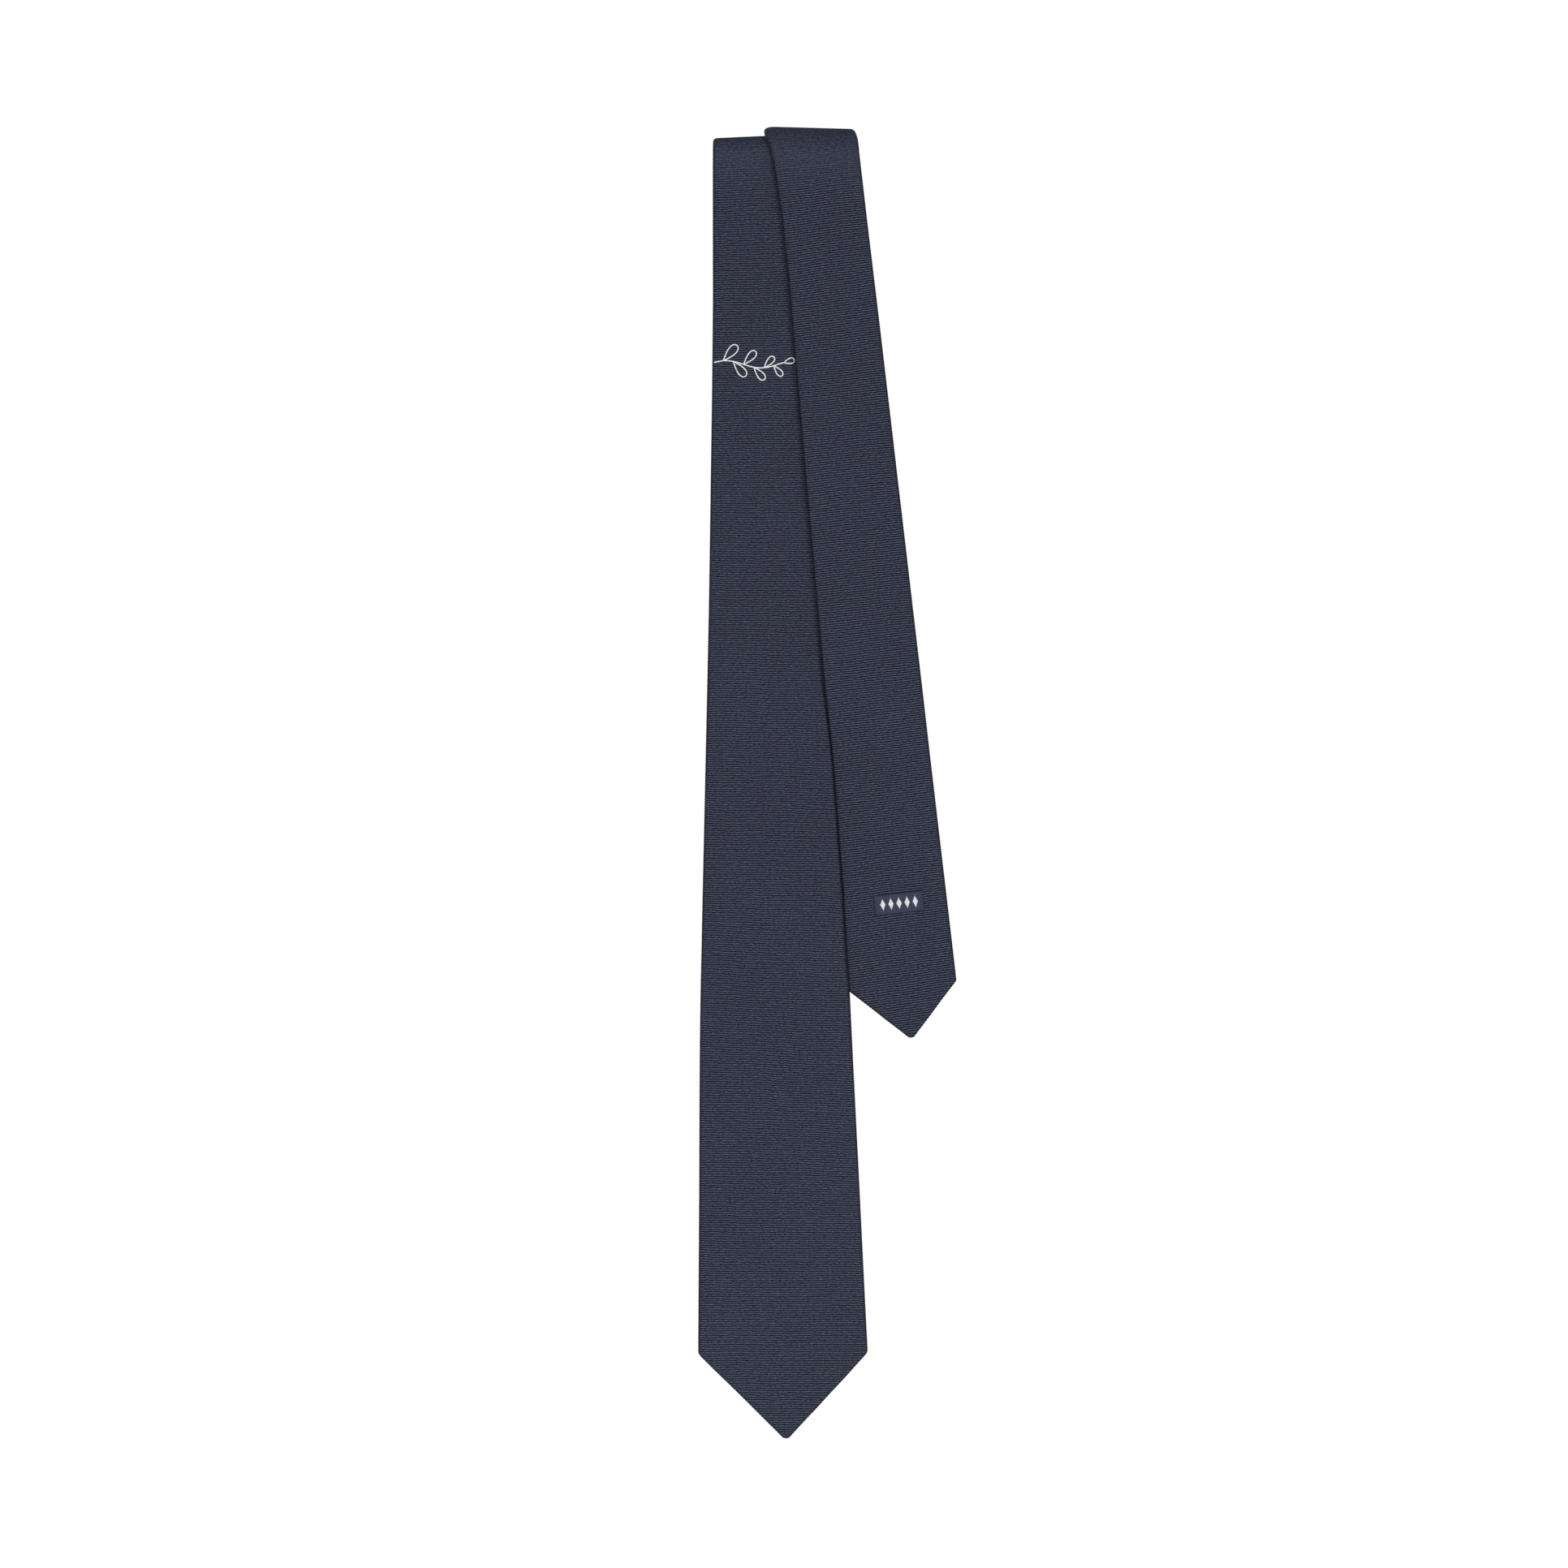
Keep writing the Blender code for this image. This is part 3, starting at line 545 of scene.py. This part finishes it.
def woven(name, base, light, pitch=0.24, gloss=0.25):
    """Tight damask or tape: two fine sets of threads, from the cloth field, with painted shade darkening it towards
    its rim.
    """
    n = Nodes(name)
    across, along, edge = n.cloth()
    warp = n.math("SINE", n.math("MULTIPLY", across, 2 * math.pi / pitch))
    weft = n.math("SINE", n.math("MULTIPLY", along, 2 * math.pi / (pitch * 0.8)))
    mottle = n.noise(n.vector(n.math("MULTIPLY", across, 1.8), n.math("MULTIPLY", along, 2.4), 0.0), 1.0, 3.0, 0.6)
    weave = n.math("MULTIPLY", warp, weft)
    colour = n.mix(n.ramp(mottle, 0.35, 0.72), base, light)
    # painted shade: the edge value darkens the colour towards the rim of the patch
    level = n.math("MULTIPLY", n.ramp(weave, -1, 1, 0.84, 1.1), n.ramp(edge, 0.0, 1.0, 1.0, 0.72))
    n.link(n.scale(colour, level), n.shader.inputs["Base Color"])
    n.link(n.ramp(mottle, 0.3, 0.7, 0.5, 0.66), n.shader.inputs["Roughness"])
    n.set(Specular_IOR_Level=gloss, Sheen_Weight=0.08)
    n.bump(n.math("ADD", weave, mottle), 0.5, 0.00004)
    return n.mat


faille_blade = faille("faille_blade", 1.0)
faille_tail = faille("faille_tail", 5.0)
faille_neck = faille("faille_neck", 8.0)
faille_keeper = faille("faille_keeper", 12.0)
satin_blade = satin("satin_tipping", seed=1.0)
satin_tail = satin("satin_tipping_tail", seed=6.0)
navy_silk = thread("navy_silk", (0.030, 0.034, 0.060))
white_silk = thread("white_silk", (0.78, 0.78, 0.80), 0.7, 0.42)
indigo_silk = thread("indigo_silk", (0.040, 0.044, 0.110))
lining_canvas = canvas("lining_canvas")
damask = woven("damask_indigo", (0.021, 0.0235, 0.056), (0.037, 0.041, 0.090))
tape = woven("care_tape_satin", (0.66, 0.66, 0.66), (0.80, 0.80, 0.79), 0.3)

pieces = {}


def keep(obj, replaced=()):
    if replaced:
        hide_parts(*replaced)
    pieces[obj.name] = obj
    return obj


# ------------------------------------------------------------------ blade shell
rows = 2440
top = blade.end + rows * STEP
outer, inner, co, ci = leg_panel(blade, top, rows, 0.4, -7.0, -30.0, top)
obj = sheet_mesh("blade_faille_panel", outer, inner, co, ci, faille_blade)
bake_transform(obj)
keep(obj, ("blade_shell", "blade_shell_fold"))

# ------------------------------------------------------------------ tail shell, in two pieces that meet in a groove on top of the fold
rows = 1600
top = tail.end + rows * STEP
outer, inner, co, ci = leg_panel(tail, top, rows, 2.2, -6.0, 30.0, 100.0)
tail_front = sheet_mesh("tail_faille_panel", outer, inner, co, ci, faille_tail)
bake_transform(tail_front)
rows_back = 216
outer, inner, co, ci = leg_panel(tail, top + rows_back * STEP, rows_back, 2.2, -6.0, 30.0, top + rows_back * STEP, first=-rows_back)
tail_back = sheet_mesh("tail_faille_fold", outer, inner, co, ci, faille_tail)
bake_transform(tail_back)
keep(tail_front, ("tail_shell", "tail_shell_fold"))
keep(tail_back, ("tail_shell_fold",))


# ------------------------------------------------------------------ neck loop
def loop_path():
    """Centre, across and outward of the band behind, densely sampled."""
    frames = []
    for z in np.linspace(BLADE_SEAM + 0.2, LOOP_Z, 900):
        a = math.radians(90 * float(ease(-70.0, -180.0, z)))
        x = -10.55 + (LOOP_X - LOOP_R + 10.55) * float(ease(BLADE_SEAM, -150.0, z))
        frames.append(((x, BLADE_R + (NECK_HW - 1.0) * math.sin(a), z), (math.cos(a), math.sin(a), 0), (-math.sin(a), math.cos(a), 0)))
    for b in np.radians(np.linspace(180, 360, 240))[1:-1]:
        c, s = math.cos(b), math.sin(b)
        frames.append(((LOOP_X + LOOP_R * c, BLADE_R + NECK_HW - 1.0, LOOP_Z + LOOP_R * s), (0, 1, 0), (c, 0, s)))
    for z in np.linspace(LOOP_Z, TAIL_SEAM + 0.2, 900):
        a = math.radians(90 * float(ease(-38.0, -134.0, z)))
        x = 11.1 + (LOOP_X + LOOP_R - 11.1) * float(ease(TAIL_SEAM, -150.0, z))
        y = TAIL_R + (BLADE_R + NECK_HW - 1.0 - TAIL_R) * math.sin(a)
        frames.append(((x, y, z), (-math.cos(a), math.sin(a), 0), (math.sin(a), math.cos(a), 0)))
    return (np.array(part, float) for part in zip(*frames))


centre, wide, out = loop_path()
length = np.concatenate([[0], np.cumsum(np.linalg.norm(np.diff(centre, axis=0), axis=1))])
rows = int(length[-1] / STEP / 8) * 8
at = np.linspace(0, length[-1], rows + 1)
centre, wide, out = (np.stack([np.interp(at, length, part[:, i]) for i in range(3)], axis=1) for part in (centre, wide, out))
wide /= np.linalg.norm(wide, axis=1, keepdims=True)
out -= wide * (out * wide).sum(axis=1, keepdims=True)
out /= np.linalg.norm(out, axis=1, keepdims=True)
flat = np.ones(rows + 1)
ends = 1 - 0.11 * (np.exp(-((at / 0.9) ** 2)) + np.exp(-(((at[-1] - at) / 0.9) ** 2)))
sec = section(-NECK_HW * flat, NECK_HW * flat, 0 * flat, 0 * flat, SLIT * flat, SLIT * flat, H * flat, H * flat, H * ends, ease(0, 6, at) * ease(at[-1], at[-1] - 6, at), wraps=6, fronts=9)
U, N, NU, NN = (sec[..., i] for i in range(4))
run = np.concatenate([np.zeros((rows + 1, 1)), np.cumsum(np.hypot(np.diff(U, axis=1), np.diff(N, axis=1)), axis=1)], axis=1)
arc = run - run[:, U.shape[1] // 2][:, None]
v = at / STEP / 4
shift = 0.20 * drift(arc, at[:, None], 4.1) * (ease(0, 8, at) * ease(at[-1], at[-1] - 8, at))[:, None]
shift_rows = shift / (at[1] - at[0])
lift = rib_profile(v)[:, None] + 0.06 * drift(arc * 0.6, at[:, None] * 0.5, 0.9)
tangent = np.gradient(centre, at, axis=0)
tangent /= np.linalg.norm(tangent, axis=1, keepdims=True)


def on_loop(u, n, along):
    return centre[:, None] + wide[:, None] * u[..., None] + out[:, None] * n[..., None] + tangent[:, None] * along[..., None]


outer = on_loop(U + NU * lift, N + NN * lift, shift)
inner = on_loop(U - NU * (CLOTH + RIB), N - NN * (CLOTH + RIB), shift)[::8]
# painted shade: edge peaks at the band's rolled edges and darkens the faille's colour there
edge = np.exp(-(((NECK_HW - np.abs(U)) / 0.95) ** 2))
co = np.stack([arc, np.repeat(v[:, None], arc.shape[1], axis=1), edge], axis=-1)
ci = co[::8].copy()
ci[..., 2] = 0
neck_panel = sheet_mesh("neck_faille_panel", outer, inner, co, ci, faille_neck)
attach(neck_panel, "neck")
keep(neck_panel, ("neck_shell",))


# ------------------------------------------------------------------ inner layers
def plate(name, top_face, low_face, cloth, material):
    return sheet_mesh(name, top_face, low_face, cloth, cloth, material)


def layer(leg, s_top, s_low, inset, n_out, n_in, cols, step, seed, ripple, thin_from, thin_to):
    """A flat layer inside a leg: grids of its two faces and its cloth field."""
    count = max(2, int(round((s_top - s_low) / step)))
    S0 = np.linspace(s_top, s_low, count + 1)
    a, b = leg.edges(S0)
    ia = np.minimum(inset * leg.steep(leg.left, S0), (b - a) * 0.42)
    ib = np.minimum(inset * leg.steep(leg.right, S0), (b - a) * 0.42)
    f = np.linspace(0, 1, cols)[None, :]
    X = (b - ib)[:, None] + ((a + ia) - (b - ib))[:, None] * f
    S = np.repeat(S0[:, None], cols, axis=1)
    rip = ripple * drift(X * 2.2, S * 1.7, seed)
    return (
        bend(X, S, n_out + rip, leg, thin_from, thin_to),
        bend(X, S, n_in + rip, leg, thin_from, thin_to),
        np.stack([X, S, 0 * X], axis=-1),
    )


mid_out, mid_in = 0.62, -0.25
o, i, c = layer(blade, 47.3, blade.end + 4.0, 2.6, mid_out, mid_in, 9, 3.0, 0.3, 0.03, -7.0, -30.0)
blade_canvas = plate("blade_canvas", o, i, c, lining_canvas)
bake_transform(blade_canvas)
keep(blade_canvas, ("blade_interlining", "blade_interlining_fold"))
split = tail.end + 1600 * STEP
o, i, c = layer(tail, split, tail.end + 4.0, 2.6, mid_out, mid_in, 9, 3.0, 0.8, 0.03, -6.0, 30.0)
tail_canvas = plate("tail_canvas", o, i, c, lining_canvas)
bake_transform(tail_canvas)
keep(tail_canvas, ("tail_interlining", "tail_interlining_fold"))
o, i, c = layer(tail, 65.0, split, 2.6, mid_out, mid_in, 9, 3.0, 0.8, 0.03, -6.0, 30.0)
tail_canvas_back = plate("tail_canvas_fold", o, i, c, lining_canvas)
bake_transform(tail_canvas_back)
keep(tail_canvas_back, ("tail_interlining_fold",))

o, i, c = layer(blade, BLADE_TACK + 16.0, blade.end + 2.6, 1.9, -0.55, -0.86, 21, 1.6, 1.9, 0.07, -7.0, -30.0)
blade_tipping = plate("blade_satin_tipping", o, i, c, satin_blade)
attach(blade_tipping, "blade")
keep(blade_tipping, ("blade_tipping",))
o, i, c = layer(tail, TAIL_TACK + 16.0, tail.end + 2.4, 1.9, -0.55, -0.86, 17, 1.4, 3.4, 0.06, -6.0, 30.0)
tail_tipping = plate("tail_satin_tipping", o, i, c, satin_tail)
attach(tail_tipping, "tail")
keep(tail_tipping, ("tail_tipping",))


# ------------------------------------------------------------------ threads
def tubes(name, paths, radius, material, sides=8, flatten=1.0, normal=(0, -1, 0)):
    """Many short threads in one mesh: each a round tube with soft ends along its own points."""
    verts, quads, tris, cloth = [], [], [], []
    base = 0
    up = np.array(normal, float)
    for path in paths:
        p = np.array(path, float)
        t = np.gradient(p, axis=0)
        t /= np.linalg.norm(t, axis=1, keepdims=True) + 1e-9
        side = np.cross(t, up)
        side /= np.linalg.norm(side, axis=1, keepdims=True) + 1e-9
        rise = np.cross(side, t)
        dist = np.concatenate([[0], np.cumsum(np.linalg.norm(np.diff(p, axis=0), axis=1))])
        r = radius * np.ones(len(p))
        r[0] = r[-1] = radius * 0.45
        bulge = 1 + 0.10 * np.sin(dist * 2 * math.pi / 1.5)
        r = r * bulge
        for q in range(sides):
            ang = 2 * math.pi * q / sides
            verts.append(p + side * (r * math.cos(ang))[:, None] + rise * (r * flatten * math.sin(ang))[:, None])
        n = len(p)
        block = np.stack(verts[-sides:], axis=1).reshape(-1, 3)
        del verts[-sides:]
        verts.append(block)
        cloth.append(np.stack([np.tile(np.arange(sides) * 0.3, n), np.repeat(dist, sides), np.zeros(n * sides)], axis=1))
        i = np.arange((n - 1) * sides).reshape(n - 1, sides)
        nxt = np.roll(i, -1, axis=1)
        quads.append(np.stack([i, nxt, nxt + sides, i + sides], axis=-1).reshape(-1, 4) + base)
        first, last = np.arange(sides), np.arange(sides) + (n - 1) * sides
        for k in range(1, sides - 1):
            tris.append((base + first[0], base + first[k + 1], base + first[k]))
            tris.append((base + last[0], base + last[k], base + last[k + 1]))
        base += n * sides
    return build(name, np.concatenate(verts), np.concatenate(quads), np.array(tris), np.concatenate(cloth), material)


def seam_stitches(leg, s_top, s_low, every):
    """Slanting slip stitches that catch the lapped back edge of a leg."""
    paths = []
    for s in np.arange(s_top, s_low, -every):
        x = float(leg.mid(s)) + SLIT - 1.5
        y = float(leg.depth(s)) + H
        f = np.linspace(0, 1, 7)
        paths.append([(x - 0.75 + 1.25 * k, y + 0.08 + 0.50 * math.sin(math.pi * (0.15 + 0.7 * k)), s - 0.9 + 1.5 * k) for k in f])
    return paths


for leg, body, name, s_top, s_low in ((blade, "blade", "blade_slip_stitch", -14.0, BLADE_TACK + 8), (tail, "tail", "tail_slip_stitch", -18.0, TAIL_TACK + 8)):
    obj = tubes(name + "es", seam_stitches(leg, s_top, s_low, 7.0), 0.14, navy_silk, normal=(0, 1, 0))
    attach(obj, body)
    keep(obj, (name,))

paths = []
for k in range(12, rows - 12, 29):
    f = np.linspace(0, 1, 6)
    c0, w0, n0, t0 = centre[k], wide[k], out[k], tangent[k]
    paths.append([c0 + w0 * (SLIT - 1.5 - 0.75 + 1.25 * g) - n0 * (H + 0.08 + 0.50 * math.sin(math.pi * (0.15 + 0.7 * g))) + t0 * (-0.75 + 1.5 * g) for g in f])
obj = tubes("neck_slip_stitches", paths, 0.14, navy_silk, normal=(0.31, 0.9, 0.29))
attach(obj, "neck")
keep(obj, ("neck_slip_stitch",))


def hem_stitches(leg, every, inset):
    """Small stitches where the turned-in hem is felled to the tipping, along both sides of the V."""
    paths = []
    for side in (-1, 1):
        line = []
        for s in np.linspace(leg.tack - 6.0, leg.end + 12.0, 400):
            o = float(leg.opening(s))
            m = float(leg.mid(s))
            if o > 2.0:
                line.append((m + side * (o - inset), s))
        line = np.array(line)
        d = np.concatenate([[0], np.cumsum(np.hypot(*np.diff(line, axis=0).T))])
        for g in np.arange(2.0, d[-1] - 2.0, every):
            f = g + np.linspace(-0.8, 0.8, 5)
            x, s = np.interp(f, d, line[:, 0]), np.interp(f, d, line[:, 1])
            wobble = np.linspace(0, 0.9, 5) * side
            y = np.array([float(leg.depth(t)) for t in s]) + 1.12 + 0.55 * np.sin(math.pi * np.linspace(0.1, 0.9, 5))
            paths.append(np.stack([x + wobble, y, s], axis=1))
    return paths


for leg, body, name in ((blade, "blade", "blade_hem_stitches"), (tail, "tail", "tail_hem_stitches")):
    obj = tubes(name, hem_stitches(leg, 3.4, 0.35), 0.12, navy_silk, normal=(0, 1, 0))
    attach(obj, body)
    keep(obj)

# embroidered sprig: one line of satin stitch on the blade's front
SPRIG_Z, SPRIG_FROM, SPRIG_TO = -87.5, -29.7, -0.6


def stem(x):
    return np.array([x, 0.0, SPRIG_Z + 1.5 * math.sin((x - SPRIG_FROM) / (SPRIG_TO - SPRIG_FROM) * 2 * math.pi + 0.5)])


def leaf(root, angle, long, wide):
    """A petal drawn out along its angle and back to its root."""
    lean = np.array([math.cos(angle), 0, math.sin(angle)])
    side = np.array([-lean[2], 0, lean[0]]) * (1 if angle > 0 else -1)
    return [root + lean * (long * math.sin(math.pi * t)) - side * (wide * math.sin(2 * math.pi * t)) for t in np.linspace(0.02, 0.98, 40)]


vine = []
roots = [-25.8, -21.6, -17.3, -13.0, -8.8, -4.8]
last = SPRIG_FROM
for k, x in enumerate(roots):
    vine += [stem(g) for g in np.arange(last, x, 0.3)]
    vine += leaf(stem(x), math.radians(48 if k % 2 == 0 else -50), 8.6 - 0.62 * k, 1.75 - 0.12 * k)
    last = x
vine += [stem(g) for g in np.arange(last, SPRIG_TO, 0.3)]
vine += leaf(stem(SPRIG_TO), math.radians(14), 4.6, 1.15)
vine = np.array(vine)
d = np.concatenate([[0], np.cumsum(np.linalg.norm(np.diff(vine, axis=0), axis=1))])
fine = np.arange(0, d[-1], 0.2)
vine = np.stack([np.interp(fine, d, vine[:, k]) for k in range(3)], axis=1)
vine[:, 0], vine[:, 2] = gauss(vine[:, 0], 1.3), gauss(vine[:, 2], 1.3)
vine[:, 1] = -BLADE_R - H - 0.08
obj = tubes("sprig_embroidery", [vine], 0.27, white_silk, sides=8, flatten=0.85)
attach(obj, "blade")
keep(obj, ("embroidery_motif",))


# ------------------------------------------------------------------ woven label on the tail
def tilted(u, n, w, centre_xz, tilt, y):
    """Patch coordinates to space: u across, w up the patch, n off its face towards the front."""
    c, s = math.cos(tilt), math.sin(tilt)
    return np.stack([centre_xz[0] + u * c - w * s, y - n, centre_xz[1] + u * s + w * c], axis=-1)


LABEL_W, LABEL_H = 20.6, 8.4
label_y = -3.2 - H - 0.10
label_tilt = math.radians(6.3)
us = np.linspace(-LABEL_W / 2, LABEL_W / 2, 41)
ws = np.linspace(LABEL_H / 2, -LABEL_H / 2, 25)
Ug, Wg = np.meshgrid(us, ws)
near = np.minimum(LABEL_W / 2 - np.abs(Ug), LABEL_H / 2 - np.abs(Wg))
crown = 0.34 * (1 - np.exp(-((near / 0.45) ** 1.2))) + 0.05 * np.sin(Ug * 1.3 + Wg * 0.8) * np.clip(near, 0, 1)
face = tilted(Ug, 0.06 + crown, Wg, (47.45, -312.0), label_tilt, label_y)
under = tilted(Ug, 0 * Ug - 0.02, Wg, (47.45, -312.0), label_tilt, label_y)
# painted shade: edge darkens the woven colour along the label's rounded rim
edge = np.exp(-((near / 0.5) ** 2))
label = sheet_mesh("woven_label", face, under, np.stack([Ug, Wg, edge], axis=-1), np.stack([Ug, Wg, edge], axis=-1), damask)
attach(label, "tail")
keep(label, ("tail_label",))

paths = []
for k in range(5):
    cx = -6.8 + 3.4 * k
    for j in range(-4, 5):
        pu = cx + 0.235 * j
        reach = 2.55 * (1 - abs(j) / 4.6)
        pw = np.linspace(-reach, reach, 7)
        rise = 0.42 + 0.10 * np.sin(math.pi * np.linspace(0.05, 0.95, 7))
        paths.append(tilted(pu + 0 * pw, rise, pw, (47.45, -312.0), label_tilt, label_y))
obj = tubes("label_lozenges", paths, 0.13, white_silk, sides=6)
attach(obj, "tail")
keep(obj)

# ------------------------------------------------------------------ keeper loop and care label on the blade's back
mid335 = float(blade.mid(-335.0))
SPAN, RISE = 27.0, 5.0
base_y = -BLADE_R + H + GAP + 0.45
lift_line = [(-SPAN, 0.0), (-SPAN + 3.0, 0.0), (-SPAN + 3.9, 0.7), (-SPAN + 4.4, RISE - 0.7), (-SPAN + 5.4, RISE), (0.0, RISE + 0.35)]
lift_line += [(-a, b) for a, b in lift_line[-2::-1]]
ll = np.array(lift_line)
d = np.concatenate([[0], np.cumsum(np.hypot(*np.diff(ll, axis=0).T))])
fine = np.linspace(0, d[-1], 4 * 68 + 1)
px, py = gauss(np.interp(fine, d, ll[:, 0]), 2.2), gauss(np.interp(fine, d, ll[:, 1]), 2.2)
step = fine[1] - fine[0]
tx, ty = np.gradient(px), np.gradient(py)
tl = np.hypot(tx, ty)
nx, ny = -ty / tl, tx / tl
half, th = 5.5, 0.45
cols = []
for k in range(7):
    a = math.radians(-90 + 180 * k / 6)
    cols.append((half - th + th * math.cos(a), th * math.sin(a), math.cos(a), math.sin(a)))
for k in range(1, 8):
    cols.append((half - th - (2 * half - 2 * th) * k / 8, th, 0.0, 1.0))
for k in range(7):
    a = math.radians(90 + 180 * k / 6)
    cols.append((-half + th + th * math.cos(a), th * math.sin(a), math.cos(a), math.sin(a)))
cols = np.array(cols)
rib = (rib_profile(np.arange(len(fine)) / 4.0) * 0.6)[:, None]


def on_keeper(w, n):
    bow = 0.10 * np.sin(px * 0.23 + 0.6)
    return np.stack([(mid335 + px)[:, None] + nx[:, None] * n, (base_y + py + bow * 0)[:, None] + ny[:, None] * n, -335.0 + w + 0 * n + (0.18 * np.sin(px * 0.11))[:, None]], axis=-1)


outer = on_keeper(cols[None, :, 0] + cols[None, :, 2] * rib, cols[None, :, 1] + cols[None, :, 3] * rib)
flatcol = np.linspace(half - th, -half + th, len(cols))
inner = on_keeper(np.repeat(flatcol[None, :], len(fine), axis=0), -th + 0 * rib + 0 * flatcol[None, :])[::8]
cf = np.stack([np.repeat(flatcol[None, :], len(fine), axis=0), np.repeat((np.arange(len(fine)) / 4.0)[:, None], len(cols), axis=1), 0 * outer[..., 0]], axis=-1)
keeper = sheet_mesh("keeper_faille", outer, inner, cf, cf[::8], faille_keeper)
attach(keeper, "blade")
keep(keeper, ("keeper_loop",))

CARE_W, CARE_H = 14.0, 22.0
cx, cz = float(blade.mid(-304.0)) + 9.0, -304.0
cy = -BLADE_R + H + 0.12
us, ws = np.linspace(-CARE_W / 2, CARE_W / 2, 15), np.linspace(CARE_H / 2, -CARE_H / 2, 33)
Ug, Wg = np.meshgrid(us, ws)
curl = 0.25 + 0.9 * ease(2.0, -CARE_H / 2, Wg) ** 2 + 0.12 * np.sin(Ug * 0.5 + 1.0) * ease(CARE_H / 2, -CARE_H / 2, Wg)
front_face = np.stack([cx + Ug, cy + curl + 0.22, cz + Wg], axis=-1)
rear_face = np.stack([cx + Ug, cy + curl, cz + Wg], axis=-1)
# painted shade: edge, at most 0.4, darkens the tape's colour slightly along its rim
edge = np.exp(-((np.minimum(CARE_W / 2 - np.abs(Ug), CARE_H / 2 - np.abs(Wg)) / 0.4) ** 2)) * 0.4
care = sheet_mesh("care_tape", front_face, rear_face, np.stack([Ug, Wg, edge], axis=-1), np.stack([Ug, Wg, edge], axis=-1), tape)
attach(care, "blade")
keep(care, ("care_label",))
paths = []
for k in range(9):
    f = np.linspace(0, 1, 5)
    z0 = cz + CARE_H / 2 - 1.4
    paths.append(np.stack([cx - 6.0 + 1.45 * k + 0.95 * f, cy + 0.25 + 0.24 + 0.22 * np.sin(math.pi * f), z0 + 0 * f], axis=1))
obj = tubes("care_tape_stitches", paths, 0.13, navy_silk, normal=(0, 1, 0))
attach(obj, "blade")
keep(obj)

# ------------------------------------------------------------------ CAD nodes that stay in view
for name, material in (
    ("blade_bar_tack", navy_silk),
    ("tail_bar_tack", navy_silk),
    ("keeper_tack_left", navy_silk),
    ("keeper_tack_right", navy_silk),
    ("label_stitch_left", indigo_silk),
    ("label_stitch_right", indigo_silk),
    ("neck_interlining", lining_canvas),
):
    slots = nodes[name].data.materials
    slots.clear()
    slots.append(material)

# ------------------------------------------------------------------ floor, light, camera
floor_mesh = bpy.data.meshes.new("studio_floor")
floor_mesh.from_pydata([(-0.8, -0.8, -0.70), (0.8, -0.8, -0.70), (0.8, 0.8, -0.70), (-0.8, 0.8, -0.70)], [], [(0, 1, 2, 3)])
floor = bpy.data.objects.new("studio_floor", floor_mesh)
bpy.context.scene.collection.objects.link(floor)
pale = Nodes("pale_floor")
dust = pale.noise(space(pale), 0.01, 2.0)
pale.link(pale.scale((0.88, 0.88, 0.88), pale.ramp(dust, 0.2, 0.8, 0.985, 1.015)), pale.shader.inputs["Base Color"])
pale.set(Roughness=0.9, Specular_IOR_Level=0.1, Emission_Strength=0.42)
pale.shader.inputs["Emission Color"].default_value = (1.0, 1.0, 1.0, 1.0)
floor_mesh.materials.append(pale.mat)


def area_light(name, place, aim, size, watts):
    data = bpy.data.lights.new(name, "AREA")
    data.shape = "RECTANGLE"
    data.size, data.size_y = size
    data.energy = watts
    lamp = bpy.data.objects.new(name, data)
    lamp.location = place
    direction = [a - p for a, p in zip(aim, place)]
    yaw = math.atan2(direction[1], direction[0]) - math.pi / 2
    pitch = math.atan2(direction[2], math.hypot(direction[0], direction[1]))
    lamp.rotation_euler = (math.pi / 2 + pitch, 0.0, yaw)
    bpy.context.scene.collection.objects.link(lamp)


area_light("key", (-1.0, -2.5, 0.35), (0.0, 0.0, -0.25), (0.9, 1.1), 34.0)
area_light("fill", (1.2, -2.4, 0.15), (0.0, 0.0, -0.25), (0.9, 1.1), 31.0)
area_light("back_left", (-1.3, 1.9, 0.7), (0.0, 0.0, -0.25), (1.1, 1.0), 15.0)
area_light("back_right", (1.5, 1.7, 0.5), (0.0, 0.0, -0.25), (1.1, 1.0), 12.0)
area_light("side_left", (-2.6, 0.1, 0.1), (0.0, 0.0, -0.25), (0.9, 1.1), 13.0)
area_light("side_right", (2.6, 0.1, 0.1), (0.0, 0.0, -0.25), (0.9, 1.1), 13.0)

world = bpy.data.worlds.new("studio")
bpy.context.scene.world = world
world.use_nodes = True
tree = world.node_tree
tree.nodes.clear()
result = tree.nodes.new("ShaderNodeOutputWorld")
choose = tree.nodes.new("ShaderNodeMixShader")
rays = tree.nodes.new("ShaderNodeLightPath")
seen = tree.nodes.new("ShaderNodeBackground")
seen.inputs["Color"].default_value = (1.0, 1.0, 1.0, 1.0)
seen.inputs["Strength"].default_value = 1.0
glow = tree.nodes.new("ShaderNodeBackground")
glow.inputs["Color"].default_value = (1.0, 1.0, 1.0, 1.0)
glow.inputs["Strength"].default_value = 0.20
tree.links.new(rays.outputs["Is Camera Ray"], choose.inputs[0])
tree.links.new(glow.outputs[0], choose.inputs[1])
tree.links.new(seen.outputs[0], choose.inputs[2])
tree.links.new(choose.outputs[0], result.inputs["Surface"])
bpy.context.scene.view_settings.view_transform = "Standard"
bpy.context.scene.view_settings.look = "None"

lens = bpy.data.cameras.new("camera")
lens.type = "PERSP"
lens.sensor_width = 36.0
lens.lens = 440.4
lens.clip_start, lens.clip_end = 0.05, 20.0
camera = bpy.data.objects.new("camera", lens)
camera.location = (-0.0005, -8.0, -0.2624)
camera.rotation_euler = (math.pi / 2, 0.0, 0.0)
bpy.context.scene.collection.objects.link(camera)
bpy.context.scene.camera = camera
